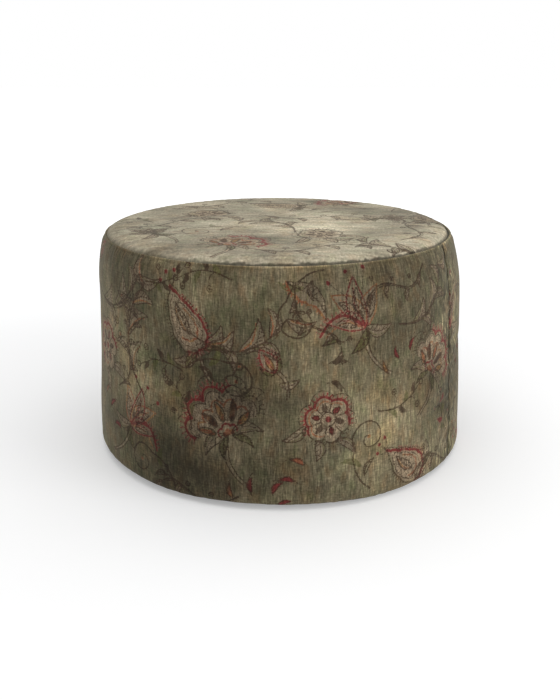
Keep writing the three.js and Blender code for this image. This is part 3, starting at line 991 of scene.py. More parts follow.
@dataclass
class Draughts:
    """Draws each motif of the print, a plain traditional crewel pattern."""

    pen: Pen
    muted: bool = False

    def __post_init__(self) -> None:
        """Chooses the petals' inks: crimson and rust, or brown and olive where the motif is muted."""
        self.petal = Ink.BROWN if self.muted else Ink.CRIMSON
        self.second = Ink.OLIVE if self.muted else Ink.RUST

    def draw(self, motif: Motif) -> None:
        """Draws a motif."""
        getattr(self, motif.value)()

    def scallop(self, reach: float, spread: float, lobes: int, depth: float, start: float = 0.0) -> Array:
        """Gives a scalloped edge round the motif's foot.

        Args:
            reach: Its distance from the foot.
            spread: How many degrees it covers, half on each side of the upright.
            lobes: How many lobes it has.
            depth: How far a lobe stands out, as a share of the reach.
            start: The height of the foot.

        Returns:
            Its points, from the right to the left, so that outwards is to their right.
        """
        share = np.linspace(0, 1, 24 * lobes + 1)
        angle = np.radians(90 - spread / 2 + spread * share)
        bulge = np.abs(np.sin(math.pi * lobes * share)) ** 0.75
        crown = 1 - 0.16 * np.abs(2 * share - 1) ** 2
        radius = reach * crown * (1 - depth + depth * bulge)
        return np.c_[radius * np.cos(angle), start + radius * np.sin(angle)]

    def fan(self) -> None:
        """Draws a wide open flower seen from its side, with a combed edge."""
        p = self.pen
        edge = self.scallop(42, 150, 5, 0.16)
        p.area(Ink.PALE, np.r_[edge * 0.93, [[0, 4]]])
        p.area(Ink.STIPPLE, np.r_[edge * 0.86, [[0, 12]]])
        p.line(self.petal, edge[:82], 3.6, 0.6)
        p.line(Ink.BROWN, edge[78:], 1.5)
        p.ticks(self.petal, edge[:82][::-1], 5.4, 2.9, 1.3)
        p.ticks(Ink.BROWN, edge[84:][::-1], 4.6, 2.9, 1.2)
        p.line(Ink.BROWN, edge * 0.9, 1.4)
        p.line(Ink.BROWN, edge[10:-10] * 1.2, 1.2)
        p.line(self.second, self.scallop(30, 132, 5, 0.2)[8:-8], 1.8)
        for k in range(5):
            top = edge[12 + k * 24]
            body = Ink.BROWN if k % 2 else Ink.OLIVE
            p.leaf(Ink.BROWN, top * 0.3, top * 0.72, 6.0, body, 0, 0.04)
            p.leaf(self.second, top * 0.34, top * 0.66, 2.6, None, 0, 0.04)
        inner = self.scallop(11, 150, 3, 0.2)
        p.line(self.petal, inner, 2.2)
        p.area(self.second, np.r_[inner * 0.6, [[0, 1]]])
        for side in (-1, 1):
            p.leaf(Ink.BROWN, (side * 2, 2), (side * 26, -7), 9, Ink.PALE, 4.5, side * 0.2, Ink.OLIVE)
            p.leaf(Ink.BROWN, (side * 2, 0), (side * 13, -15), 6, Ink.OLIVE, 4, side * 0.14)
        self.stalk((0, 2), (5, -40), 0.16)

    def stalk(self, start: Point, end: Point, sag: float) -> None:
        """Draws a stalk of two lines with a pale strip between them."""
        p = self.pen
        points = p.bow(Ink.BROWN, start, end, sag, 1.6, 1.0)
        p.line(Ink.PALE, points + (1.7, 0.5), 2.2)
        p.line(Ink.BROWN, points + (3.3, 1.0), 1.4)

    def rosette(self) -> None:
        """Draws a round flower seen from the front."""
        p = self.pen
        t = np.linspace(0, 2 * math.pi, 121)
        radius = 21 * (0.8 + 0.2 * np.abs(np.cos(3 * t)) ** 0.7)
        edge = np.c_[radius * np.cos(t), radius * np.sin(t)]
        p.area(Ink.PALE, edge[:-1] * 0.95)
        p.area(Ink.STIPPLE, edge[:-1] * 0.8)
        p.line(self.petal, edge[:78], 3.4, 0.6)
        p.line(Ink.BROWN, edge[76:], 1.5)
        p.ticks(self.petal, edge[:78][::-1], 4.4, 2.9, 1.3)
        p.ticks(Ink.BROWN, edge[80:][::-1], 4.0, 2.9, 1.2)
        p.line(self.second, edge[20:90] * 0.82, 1.6)
        p.line(Ink.BROWN, edge[:80] * 1.28, 1.2)
        for k in range(6):
            out = ray(60 * k + 30, 16)
            p.line(Ink.BROWN, np.array([out * 0.45, out]), 1.5)
            body = self.petal if k % 2 else Ink.BROWN
            p.leaf(Ink.BROWN, ray(60 * k, 7), ray(60 * k, 15), 4.5, body, 0, 0.0)
        p.area(Ink.PALE, edge[:-1] * 0.3)
        p.berry((0, 0), 6.4, 1.6, self.petal, 2.8)
        lean = math.degrees(0.2)
        for k, length in enumerate((24, 18, 22)):
            foot, tip = ray(205 + 52 * k, 20), ray(205 + 52 * k + lean, 20 + length)
            p.leaf(Ink.BROWN, foot, tip, 9, Ink.PALE, 4.5, 0.15, Ink.OLIVE)

    def pod(self) -> None:
        """Draws a drop-shaped palmette with a combed edge, a row of beads and two leaves."""
        p = self.pen
        t = np.linspace(0, 2 * math.pi, 97)
        lobes = 1 + 0.07 * np.abs(np.sin(6 * t)) ** 0.8
        x = 21 * np.sin(t) * np.sin(t / 2) ** 1.1 * lobes
        y = -30 * np.cos(t - math.pi) * lobes
        edge = np.c_[x + 5 * np.clip(y / 30, 0, 1) ** 2, y]
        p.area(Ink.PALE, edge[:-1] * 0.95)
        p.area(Ink.STIPPLE, edge[:-1] * 0.84)
        p.line(self.petal, edge[:58], 3.4, 0.6)
        p.line(Ink.BROWN, edge[56:], 1.6)
        p.ticks(self.petal, edge[14:58], 4.2, 2.9, 1.3)
        p.ticks(Ink.BROWN, edge[58:-10], 3.8, 2.9, 1.2)
        p.line(Ink.BROWN, edge[8:-8] * 0.8, 1.4)
        p.line(self.second, edge[18:62] * 0.62, 1.8)
        p.leaf(Ink.BROWN, (0, -14), (3, 16), 9, Ink.PALE, 4, 0.06, self.second)
        for k in range(5):
            p.dot(Ink.BROWN, (-1 + 0.8 * k, -10 + 6 * k), 1.3)
        p.line(Ink.BROWN, edge[4:60] * 1.18, 1.3)
        for lean in (-1, 0, 1):
            end = (7 + 9 * lean, 44 - 3 * abs(lean))
            p.bow(Ink.BROWN, (5 + lean, 30), end, lean * -0.1, 1.6)
            p.dot(self.petal, end, 1.9)
        for side, drop in ((-1, 4), (1, 0)):
            upper, lower = (side * 31, -21 - drop), (side * 22, -41 + drop)
            p.leaf(Ink.BROWN, (side * 3, -29), upper, 12, Ink.PALE, 4.5, side * -0.2, Ink.OLIVE)
            p.leaf(Ink.BROWN, (side * 2, -31), lower, 7, Ink.OLIVE, 0, side * 0.14)
        self.stalk((0, -29), (-7, -60), -0.12)

    def blossom(self) -> None:
        """Draws a lily-like flower from its side, with one petal curled over."""
        p = self.pen
        petals = ((32, 34, 15), (64, 40, 17), (98, 42, 16), (130, 36, 15))
        for k, (angle, reach, width) in enumerate(petals):
            tip = ray(angle, reach)
            edge = self.second if k % 2 else self.petal
            sag = 0.1 if angle < 90 else -0.1
            p.leaf(edge, (0, 2), tip, width, Ink.PALE, 0, sag)
            p.leaf(Ink.BROWN, tip * 0.24 + (0, 1), tip * 0.8, width * 0.5, Ink.STIPPLE, 4, sag)
        curl = p.bow(self.petal, (2, 4), (38, 10), 0.34, 3.4, 0.8)
        p.ticks(self.petal, curl, 4.2, 3.2, 1.3)
        p.bow(self.second, (3, 3), (34, 8), 0.22, 1.8)
        for k in range(3):
            end = ray(112 - 20 * k, 48)
            p.bow(Ink.BROWN, (0, 8), end, 0.05 * (k - 1), 1.3)
            p.dot(self.petal, end, 1.8)
        p.leaf(Ink.BROWN, (0, 2), (-24, -8), 10, Ink.PALE, 4.5, 0.2, Ink.OLIVE)
        p.leaf(Ink.BROWN, (0, 1), (18, -13), 8, Ink.OLIVE, 4, -0.2)
        self.stalk((0, 2), (-10, -46), 0.14)

    def bud(self) -> None:
        """Draws a closed bud on a short stalk."""
        p = self.pen
        p.leaf(self.petal, (0, 0), (0, 25), 15, Ink.PALE, 0, 0.0)
        p.leaf(Ink.BROWN, (0, 2), (1, 19), 6, self.second, 0, 0.02)
        for side in (-1, 1):
            flank = np.array([(side * 7.5, 6), (side * 8.2, 12), (side * 5, 20)])
            p.ticks(self.petal, flank, side * -3.6, 3.0, 1.3)
            p.leaf(Ink.BROWN, (0, -1), (side * 10, 12), 5, Ink.OLIVE, 0, side * -0.2)
        self.stalk((0, 0), (-6, -28), 0.14)
        p.leaf(Ink.BROWN, (-4, -12), (14, -19), 7, Ink.PALE, 3.6, -0.15, Ink.OLIVE)

    def frond(self) -> None:
        """Draws a long curved leaf with one side hatched and one side lobed."""
        p = self.pen
        t = np.linspace(0, 1, 41)
        rib = np.c_[34 * t - 30 * t**2 * (1 - t) * 2, 62 * t - 14 * t**2]
        slope = np.gradient(rib, axis=0)
        left = np.c_[-slope[:, 1], slope[:, 0]] / np.hypot(*slope.T)[:, None]
        half = 12 * np.sin(math.pi * t**0.85)
        lobed = rib - left * (half * (0.82 + 0.18 * np.abs(np.sin(4 * math.pi * t))))[:, None]
        plain = rib + left * (half * 0.8)[:, None]
        p.area(Ink.PALE, np.r_[lobed, plain[::-1]])
        p.line(Ink.BROWN, rib, 1.9, 0.7)
        p.line(Ink.BROWN, plain, 1.5)
        p.line(self.second, lobed, 2.2)
        p.ticks(self.second, lobed, -3.4, 3.4, 1.3)
        for k in range(4, 36, 3):
            p.line(Ink.BROWN, np.array([rib[k], plain[min(k + 3, 40)] * 0.9 + rib[k] * 0.1]), 1.2, 0.7)
        for k in range(6, 36, 6):
            p.line(Ink.OLIVE, np.array([rib[k], lobed[min(k + 3, 40)]]), 1.5, 0.7)

    def sprig(self) -> None:
        """Draws a twig of small leaves, ringed buds and berries."""
        p = self.pen
        stem = p.bow(Ink.BROWN, (0, -30), (8, 34), -0.14, 2.1, 0.6)
        for k, side in enumerate((1, -1, 1, -1, 1, -1)):
            root = stem[3 + 2 * k]
            reach = 15 - k
            tip = (root[0] + side * reach, root[1] + 7)
            if k % 3 == 0:
                p.leaf(Ink.OLIVE, root, tip, 5.5, Ink.OLIVE, 0, side * 0.15)
            elif k % 3 == 1:
                p.bow(Ink.BROWN, root, tip, side * 0.2, 1.5)
                p.berry((tip[0] + side * 3.2, tip[1] + 1), 3.2, 1.6, self.petal, 1.3)
            else:
                p.leaf(self.petal, root, tip, 5, self.petal, 0, side * -0.1)
        p.berry(stem[-1] + (0.5, 3.5), 3.4, 1.7, self.second, 1.5)

    def tendril(self) -> None:
        """Draws a curling shoot with two leaves."""
        p = self.pen
        t = np.linspace(0, 1, 61)
        turn = 2.6 * math.pi * t**0.8
        radius = 20 * (1 - t) ** 0.9 + 1.5
        curl = np.c_[radius * np.cos(turn) - 20, 26 + radius * np.sin(turn)]
        p.line(Ink.BROWN, curl, 2.1, 0.7)
        p.bow(Ink.BROWN, (8, -24), curl[0], -0.16, 2.2, 0.9)
        p.leaf(Ink.OLIVE, (5, 4), (22, 22), 7, Ink.OLIVE, 4, 0.16)
        p.leaf(Ink.BROWN, (6, -8), (-12, 2), 6, None, 3.5, -0.16)
        p.dot(Ink.RUST, curl[-1], 2.1)

    def spray(self) -> None:
        """Draws a long arching branch with broad curling leaves and two ringed buds."""
        p = self.pen
        stem = p.bow(Ink.BROWN, (-24, -50), (12, 40), -0.24, 2.4, 0.8)
        p.line(Ink.BROWN, stem[2:15] + (3.2, 0.6), 1.3)
        leaves = ((3, 1, 30, 13), (5, -1, 25, 10), (8, 1, 36, 15), (10, -1, 30, 12), (13, 1, 27, 11))
        for k, (at, side, reach, width) in enumerate(leaves):
            along = stem[at + 1] - stem[at - 1]
            along = along / np.hypot(*along)
            out = side * np.array([-along[1], along[0]])
            tip = stem[at] + reach * (0.62 * along + 0.78 * out)
            accent = Ink.OLIVE if k % 2 else self.second
            p.leaf(Ink.BROWN, stem[at], tip, width, Ink.PALE, 3.2, -0.24 * side, Ink.OLIVE)
            p.bow(accent, stem[at], tip * 0.86 + stem[at] * 0.14, -0.15 * side, 2.0, 0.5)
        p.leaf(Ink.BROWN, stem[-1], stem[-1] + (17, 22), 11, Ink.PALE, 3.6, -0.25, self.second)
        for at in (6, 12):
            tip = stem[at] + (15, 3)
            p.bow(Ink.BROWN, stem[at], tip, 0.2, 1.6)
            p.berry(tip + (2.6, -1), 3.4, 1.6, self.second, 1.4)

    def vine(self) -> None:
        """Draws a long wavy stem with paired lines, leaves and ringed buds."""
        p = self.pen
        t = np.linspace(-1, 1, 49)
        stem = np.c_[72 * t, 13 * np.sin(math.pi * t * 1.2) + 8 * t]
        p.line(Ink.BROWN, stem, 2.3, 0.7)
        p.line(Ink.BROWN, stem[4:40] + (0.4, -3.2), 1.2, 0.8)
        for k in range(5, 46, 6):
            side = 1 if k // 6 % 2 else -1
            root = stem[k]
            if k % 4 == 1:
                tip = (root[0] + 12, root[1] + side * 20)
                p.leaf(Ink.BROWN, root, tip, 8.5, Ink.PALE, 4.5, side * -0.16, Ink.OLIVE)
            else:
                tip = (root[0] + 7, root[1] + side * 13)
                p.bow(Ink.BROWN, root, tip, side * -0.2, 1.6)
                p.berry((tip[0] + 1, tip[1] + side * 3.5), 3.6, 1.6, self.petal, 1.5)

    def petals(self) -> None:
        """Draws three loose petals."""
        p = self.pen
        for start, end, ink in (((0, 0), (12, 6), 0), ((-14, 12), (-4, 20), 1), ((8, -16), (22, -20), 0)):
            body = self.petal if ink == 0 else self.second
            p.leaf(Ink.BROWN, start, end, 4.5, body, 0, 0.18)
            p.bow(Ink.BROWN, (start[0] - 3, start[1] - 3), (end[0] + 5, end[1] + 1), 0.22, 1.3)


@dataclass(frozen=True)
class Spot:
    """Where a motif is printed, in millimetres on the cloth, with its size and turn in degrees."""

    motif: Motif
    u: float
    v: float
    size: float = 1.0
    turn: float = 0.0
    mirrored: bool = False
    muted: bool = False


SIDE_PRINT: tuple[Spot, ...] = (
    Spot(Motif.FAN, 66, 222, 1.7, 22),
    Spot(Motif.VINE, 66, 330, 1.0, 8, muted=True),
    Spot(Motif.SPRIG, 30, 118, 1.25, -14),
    Spot(Motif.POD, 128, 96, 1.5, -20),
    Spot(Motif.SPRAY, 178, 236, 1.5, 24),
    Spot(Motif.VINE, 172, 26, 1.0, -6, muted=True),
    Spot(Motif.BUD, 226, 318, 1.4, -34),
    Spot(Motif.FROND, 222, 58, 1.4, 10, True),
    Spot(Motif.ROSETTE, 282, 188, 1.8, 10),
    Spot(Motif.SPRAY, 326, 296, 1.6, -52, muted=True),
    Spot(Motif.PETALS, 300, 96, 1.5, 10),
    Spot(Motif.BLOSSOM, 362, 86, 1.7, -34),
    Spot(Motif.SPRAY, 392, 236, 1.7, -24, True),
    Spot(Motif.TENDRIL, 432, 34, 1.2, 40, muted=True),
    Spot(Motif.POD, 474, 268, 1.6, 34),
    Spot(Motif.SPRIG, 462, 142, 1.3, 40, muted=True),
    Spot(Motif.FAN, 546, 108, 1.8, 26, True),
    Spot(Motif.SPRAY, 566, 262, 1.5, -58),
    Spot(Motif.VINE, 486, 14, 1.0, 4, True, muted=True),
    Spot(Motif.BUD, 610, 204, 1.5, 34),
    Spot(Motif.FROND, 628, 330, 1.3, -100),
    Spot(Motif.ROSETTE, 684, 132, 1.6, -14),
    Spot(Motif.PETALS, 636, 44, 1.6, 20, True),
    Spot(Motif.BLOSSOM, 742, 258, 1.8, 20, True),
    Spot(Motif.TENDRIL, 742, 56, 1.3, 30, True, muted=True),
    Spot(Motif.VINE, 672, 264, 0.9, -60, muted=True),
    Spot(Motif.SPRIG, 798, 150, 1.3, -66, muted=True),
    Spot(Motif.POD, 812, 44, 1.4, 60),
    Spot(Motif.FAN, 868, 168, 1.6, -34),
    Spot(Motif.SPRAY, 862, 292, 1.3, -34, muted=True),
    Spot(Motif.VINE, 898, 28, 1.0, 6, True, muted=True),
    Spot(Motif.SPRIG, 924, 90, 1.2, 14, True),
    Spot(Motif.SPRIG, 436, 186, 1.3, 100, muted=True),
    Spot(Motif.VINE, 360, 196, 0.9, 62, muted=True),
    Spot(Motif.TENDRIL, 512, 200, 1.3, -70, True, muted=True),
    Spot(Motif.SPRIG, 512, 324, 1.3, 100, muted=True),
    Spot(Motif.PETALS, 576, 28, 1.6, 60),
    Spot(Motif.PETALS, 690, 214, 1.5, -30, muted=True),
    Spot(Motif.TENDRIL, 660, 318, 1.4, 120, muted=True),
    Spot(Motif.VINE, 800, 312, 0.9, 20, True, muted=True),
    Spot(Motif.PETALS, 800, 206, 1.4, 80),
    Spot(Motif.SPRIG, 436, 332, 1.2, -60, muted=True),
)

TOP_PRINT: tuple[Spot, ...] = (
    Spot(Motif.BLOSSOM, -188, -112, 1.5, 44, muted=True),
    Spot(Motif.SPRIG, -246, 6, 1.4, 70, muted=True),
    Spot(Motif.VINE, -176, -12, 1.3, 20, muted=True),
    Spot(Motif.ROSETTE, -120, 70, 1.7, 0, muted=True),
    Spot(Motif.FROND, -190, 128, 1.4, -60, muted=True),
    Spot(Motif.VINE, -96, 176, 1.3, 12, muted=True),
    Spot(Motif.TENDRIL, -84, -66, 1.4, 80, muted=True),
    Spot(Motif.FAN, -76, -190, 1.6, -24),
    Spot(Motif.SPRAY, -22, -40, 1.4, 66, muted=True),
    Spot(Motif.POD, -6, 150, 1.5, 76, muted=True),
    Spot(Motif.ROSETTE, 66, -112, 1.7, 20, muted=True),
    Spot(Motif.VINE, 52, -206, 1.3, 4, muted=True),
    Spot(Motif.VINE, 66, 32, 1.4, -14, muted=True),
    Spot(Motif.PETALS, 60, 104, 1.4, 10, muted=True),
    Spot(Motif.FAN, 130, 176, 1.5, 34, True),
    Spot(Motif.BLOSSOM, 172, 24, 1.5, -72, muted=True),
    Spot(Motif.SPRAY, 164, -168, 1.3, 48, True, muted=True),
    Spot(Motif.VINE, 214, -70, 1.2, 70, muted=True),
    Spot(Motif.POD, 244, 30, 1.3, 10, muted=True),
    Spot(Motif.TENDRIL, 226, 118, 1.3, -30, True, muted=True),
)


@dataclass(frozen=True)
class Blot:
    """A soft darker or lighter place in the dyed ground, in millimetres on the cloth."""

    u: float
    v: float
    width: float
    height: float
    dark: float

    def read(self, u: Array, v: Array) -> Array:
        """Gives its darkness at places on the cloth, in metres."""
        across, up = (u / MM - self.u) / self.width, (v / MM - self.v) / self.height
        return self.dark * np.exp(-(across**2) - up**2)


SIDE_BLOTS: tuple[Blot, ...] = (
    Blot(250, 70, 60, 60, -0.42),
    Blot(385, 186, 95, 66, -0.65),
    Blot(445, 84, 72, 44, 0.52),
    Blot(508, 285, 55, 50, -0.42),
    Blot(568, 162, 62, 46, 0.9),
    Blot(520, 48, 78, 56, 0.8),
    Blot(637, 236, 42, 44, -0.4),
    Blot(735, 322, 85, 44, 0.55),
    Blot(724, 96, 92, 105, -1.0),
    Blot(868, 125, 56, 60, 0.6),
)

TOP_BLOTS: tuple[Blot, ...] = (
    Blot(-205, -60, 80, 100, 0.32),
    Blot(-150, 150, 50, 60, -0.3),
    Blot(-70, 130, 60, 60, 0.28),
    Blot(50, -60, 90, 80, -0.3),
    Blot(215, 0, 70, 100, 0.2),
)


@dataclass(frozen=True)
class PrintRun:
    """One print of the pattern on a panel's cloth."""

    spots: tuple[Spot, ...]
    low: Point
    high: Point
    shift: Point = (0.0, 0.0)
    bold: float = 1.2
    seed: int = 11

    def canvas(self) -> Canvas:
        """Draws every motif.

        Returns:
            The printed canvas.
        """
        canvas = Canvas(self.low, self.high)
        width = self.high[0] - self.low[0]
        for k, spot in enumerate(self.spots):
            u, v = spot.u * MM + self.shift[0], spot.v * MM + self.shift[1]
            if self.shift[0]:
                u = self.low[0] + (u - self.low[0]) % width
            pen = Pen(canvas, (u, v), spot.size, spot.turn, spot.mirrored, self.seed + 3 * k, self.bold)
            Draughts(pen, spot.muted).draw(spot.motif)
        return canvas


# Meshes


@dataclass(frozen=True)
class Profile:
    """A cloth's outer face as a run of points in the plane of radius and height."""

    radius: Array
    height: Array
    out_radius: Array
    out_height: Array
    run: Array

    @classmethod
    def through(cls, points: Iterable[Point], pitch: float, outwards: int, block: int = 8) -> Profile:
        """Spaces points evenly along a line.

        Args:
            points: The line's points, close together where it bends.
            pitch: About how far apart they become.
            outwards: 1 where the outside is to the right of the line, and -1 where it is to its left.
            block: The number of steps is a multiple of this.

        Returns:
            The profile.
        """
        line = np.array(list(points), float)
        steps = np.r_[0, np.cumsum(np.hypot(*np.diff(line, axis=0).T))]
        count = block * max(1, round(steps[-1] / pitch / block))
        run = np.linspace(0, steps[-1], count + 1)
        radius, height = (np.interp(run, steps, line[:, k]) for k in (0, 1))
        dr, dz = np.gradient(radius), np.gradient(height)
        size = np.hypot(dr, dz)
        return cls(radius, height, outwards * dz / size, -outwards * dr / size, run)


def arc(centre: Point, radius: float, start: float, end: float, steps: int = 12) -> list[Point]:
    """Gives the points of an arc.

    Args:
        centre: Its centre.
        radius: Its radius.
        start: The angle that it starts at, in degrees.
        end: The angle that it ends at.
        steps: How many steps it has.

    Returns:
        Its points.
    """
    angles = np.radians(np.linspace(start, end, steps + 1))
    return [(centre[0] + radius * math.cos(a), centre[1] + radius * math.sin(a)) for a in angles]


def deselect() -> None:
    """Leaves nothing selected."""
    for other in bpy.context.selected_objects:
        other.select_set(False)


def placed(name: str, data: bpy.types.ID) -> Piece:
    """Puts a mesh, lamp or camera into the scene, at the origin, and gives the object."""
    piece = bpy.data.objects.new(name, data)
    bpy.context.scene.collection.objects.link(piece)
    return piece


def mesh_object(name: str, vertices: Array, faces: list) -> Piece:
    """Makes a smooth piece from vertices and faces, at the origin."""
    mesh = bpy.data.meshes.new(name)
    mesh.from_pydata(np.asarray(vertices).tolist(), [], faces)
    mesh.update()
    mesh.shade_smooth()
    return placed(name, mesh)


def disc_grid(count: int) -> tuple[Array, Array]:
    """Draws a square grid into a round one.

    Args:
        count: How many points a side of the grid has.

    Returns:
        Each point's angle, and its distance from the middle as a share of the radius.
    """
    line = np.linspace(-1, 1, count)
    a, b = np.meshgrid(line, line)
    wide = np.abs(a) >= np.abs(b)
    with np.errstate(divide="ignore", invalid="ignore"):
        angle = np.where(wide, math.pi / 4 * b / a, math.pi / 2 - math.pi / 4 * a / b)
    angle = np.nan_to_num(angle) + np.where(np.where(wide, a < 0, b < 0), math.pi, 0)
    return angle, np.maximum(np.abs(a), np.abs(b))


def kept_indices(count: int, block: int, fine: Iterable[range]) -> Array:
    """Chooses the grid lines that the inner face keeps.

    Args:
        count: How many grid lines there are.
        block: The step where the cloth is flat.
        fine: Ranges in which every second line is kept.

    Returns:
        The indices of the kept lines, with the first and the last.
    """
    kept = set(range(0, count, block)) | {count - 1}
    for span in fine:
        kept |= set(range(max(span.start, 0), min(span.stop, count), 2))
    return np.array(sorted(kept))


def grid_quads(numbers: Array) -> Array:
    """Gives the quads between the vertices of a grid of vertex numbers."""
    a, b, c, d = numbers[:-1, :-1], numbers[:-1, 1:], numbers[1:, 1:], numbers[1:, :-1]
    return np.stack([a, b, c, d], -1).reshape(-1, 4)


def cloth_shell(
    name: str, outer: Array, outwards: Array, thickness: float, rows: Array, columns: Array
) -> tuple[Piece, Array]:
    """Makes a closed piece of cloth with a fine outer face and a coarser inner one.

    Args:
        name: The piece's name.
        outer: The outer face's points, as a grid.
        outwards: The direction out of the cloth at each point.
        thickness: The cloth's thickness.
        rows: The grid rows that the inner face keeps.
        columns: The grid columns that the inner face keeps.

    Returns:
        The piece, and for each of its vertices the number of the grid point that it belongs to.
    """
    height, width = outer.shape[:2]
    fine = np.arange(height * width).reshape(height, width)
    corner = np.ix_(rows, columns)
    inner_points = outer[corner] - thickness * outwards[corner]
    coarse = height * width + np.arange(len(rows) * len(columns)).reshape(len(rows), len(columns))
    faces = grid_quads(fine).tolist() + grid_quads(coarse)[:, ::-1].tolist()
    for a, b, k in zip(columns[:-1], columns[1:], range(len(columns))):
        faces.append([*fine[0, a : b + 1][::-1], coarse[0, k], coarse[0, k + 1]])
        faces.append([*fine[-1, a : b + 1], coarse[-1, k + 1], coarse[-1, k]])
    for a, b, k in zip(rows[:-1], rows[1:], range(len(rows))):
        faces.append([*fine[a : b + 1, 0], coarse[k + 1, 0], coarse[k, 0]])
        faces.append([*fine[a : b + 1, -1][::-1], coarse[k, -1], coarse[k + 1, -1]])
    faces = [[int(n) for n in face] for face in faces]
    vertices = np.r_[outer.reshape(-1, 3), inner_points.reshape(-1, 3)]
    piece = mesh_object(name, vertices, faces)
    return piece, np.r_[fine.reshape(-1), fine[corner].reshape(-1)]


def set_map(piece: Piece, flat: Array) -> None:
    """Gives a piece its flat map.

    Args:
        piece: The piece.
        flat: The place of each vertex on the flat cloth, in metres.
    """
    mesh = piece.data
    layer = mesh.uv_layers.new(name=CLOTH_MAP)
    corner = np.empty(len(mesh.loops), np.int32)
    mesh.loops.foreach_get("vertex_index", corner)
    layer.data.foreach_set("uv", flat[corner].astype(np.float32).reshape(-1))


def set_layer(piece: Piece, name: str, values: Array) -> None:
    """Gives a piece a colour layer with four values for each vertex."""
    layer = piece.data.color_attributes.new(name=name, type="FLOAT_COLOR", domain="POINT")
    layer.data.foreach_set("color", values.astype(np.float32).reshape(-1))


def dressed(piece: Piece, material: Material, slot: str, *nodes: str) -> Piece:
    """Gives a piece its material, the body that it rides on and the nodes it stands for."""
    piece.data.materials.clear()
    piece.data.materials.append(material)
    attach(piece, "root")
    if nodes:
        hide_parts(*nodes)
    log.info("%s: %d faces", piece.name, len(piece.data.polygons))
    return piece


def spun(name: str, outline: Sequence[Point], segments: int = 128) -> Piece:
    """Makes a closed soft piece by turning an outline round the seat's axis.

    Args:
        name: The piece's name.
        outline: Its points in the plane of radius and height, counterclockwise. It starts and ends on
            the axis, or closes on itself.
        segments: How many steps the turn has.

    Returns:
        The piece, with a flat map that follows the outline and the turn.
    """
    bm = bmesh.new()
    rings = []
    for radius, height in outline:
        if radius < 1e-6:
            rings.append([bm.verts.new((0, 0, height))])
        else:
            turns = (360 * k / segments for k in range(segments))
            rings.append([bm.verts.new(around(radius, turn, height)) for turn in turns])
    closed = len(rings[0]) > 1
    pairs = list(zip(rings, rings[1:] + rings[:1] if closed else rings[1:]))
    for low, high in pairs:
        for k in range(segments):
            n = (k + 1) % segments
            corners = [low[k % len(low)], low[n % len(low)], high[n % len(high)], high[k % len(high)]]
            face = list(dict.fromkeys(corners))
            if len(face) > 2:
                bm.faces.new(face)
    bmesh.ops.recalc_face_normals(bm, faces=bm.faces)
    mesh = bpy.data.meshes.new(name)
    bm.to_mesh(mesh)
    bm.free()
    mesh.shade_smooth()
    return placed(name, mesh)


@dataclass(frozen=True)
class Settling:
    """A cloth simulation on a coarse copy of a panel, which is held at its edges and swells a little."""

    pressure: float = 4.0
    spare: float = 0.012
    stretch: float = 25
    shear: float = 12
    bending: float = 0.6
    frames: int = 20
    cap: float = 2.5 * MM

    def moves(self, grid: Array) -> Array:
        """Simulates the panel.

        Args:
            grid: The coarse panel's points.

        Returns:
            How far each point moves, with no move longer than the cap.
        """
        rows, columns = grid.shape[:2]
        numbers = np.arange(rows * columns).reshape(rows, columns)
        sheet = mesh_object("settling_sheet", grid.reshape(-1, 3), grid_quads(numbers).tolist())
        held = sheet.vertex_groups.new(name="held")
        border = np.r_[numbers[0], numbers[-1], numbers[:, 0], numbers[:, -1]]
        held.add([int(n) for n in border], 1.0, "REPLACE")
        cloth = sheet.modifiers.new("cloth", "CLOTH")
        settings = {
            "quality": 6,
            "vertex_group_mass": held.name,
            "use_pressure": True,
            "uniform_pressure_force": self.pressure,
            "shrink_min": -self.spare,
            "tension_stiffness": self.stretch,
            "compression_stiffness": self.stretch,
            "shear_stiffness": self.shear,
            "bending_stiffness": self.bending,
        }
        for key, value in settings.items():
            setattr(cloth.settings, key, value)
        cloth.settings.effector_weights.gravity = 0
        cloth.collision_settings.use_collision = False
        cloth.point_cache.frame_end = self.frames
        scene = bpy.context.scene
        for frame in range(1, self.frames + 1):
            scene.frame_set(frame)
        shape = sheet.evaluated_get(bpy.context.evaluated_depsgraph_get()).data
        settled = np.empty(len(shape.vertices) * 3, np.float32)
        shape.vertices.foreach_get("co", settled)
        bpy.data.objects.remove(sheet)
        scene.frame_set(1)
        move = settled.reshape(grid.shape) - grid
        size = np.linalg.norm(move, axis=-1, keepdims=True)
        log.info("settled: %.1f mm before the cap", size.max() / MM)
        return move * self.cap * np.tanh(size / self.cap) / np.maximum(size, 1e-9)


def enlarged(coarse: Array, rows: Array, columns: Array) -> Array:
    """Reads a coarse grid of vectors smoothly at finer places.

    Args:
        coarse: The grid.
        rows: The rows to read, as fractions of the coarse grid's rows.
        columns: The columns to read, as fractions of the coarse grid's columns.

    Returns:
        The finer grid.
    """

    def weights(at: Array, count: int) -> tuple[Array, Array]:
        """Gives four neighbours and their cubic weights for each place."""
        base = np.clip(np.floor(at).astype(int), 0, count - 2)
        f = (at - base)[:, None]
        near = np.clip(base[:, None] + np.arange(-1, 3), 0, count - 1)
        outer = -(f**3) + 2 * f**2 - f, 3 * f**3 - 5 * f**2 + 2
        inner = -3 * f**3 + 4 * f**2 + f, f**3 - f**2
        return near, np.hstack([*outer, *inner]) / 2

    near, cubic = weights(rows, coarse.shape[0])
    tall = np.einsum("ab,abcd->acd", cubic, coarse[near])
    near, cubic = weights(columns, coarse.shape[1])
    return np.einsum("cb,acbd->acd", cubic, tall[:, near])


# The cover


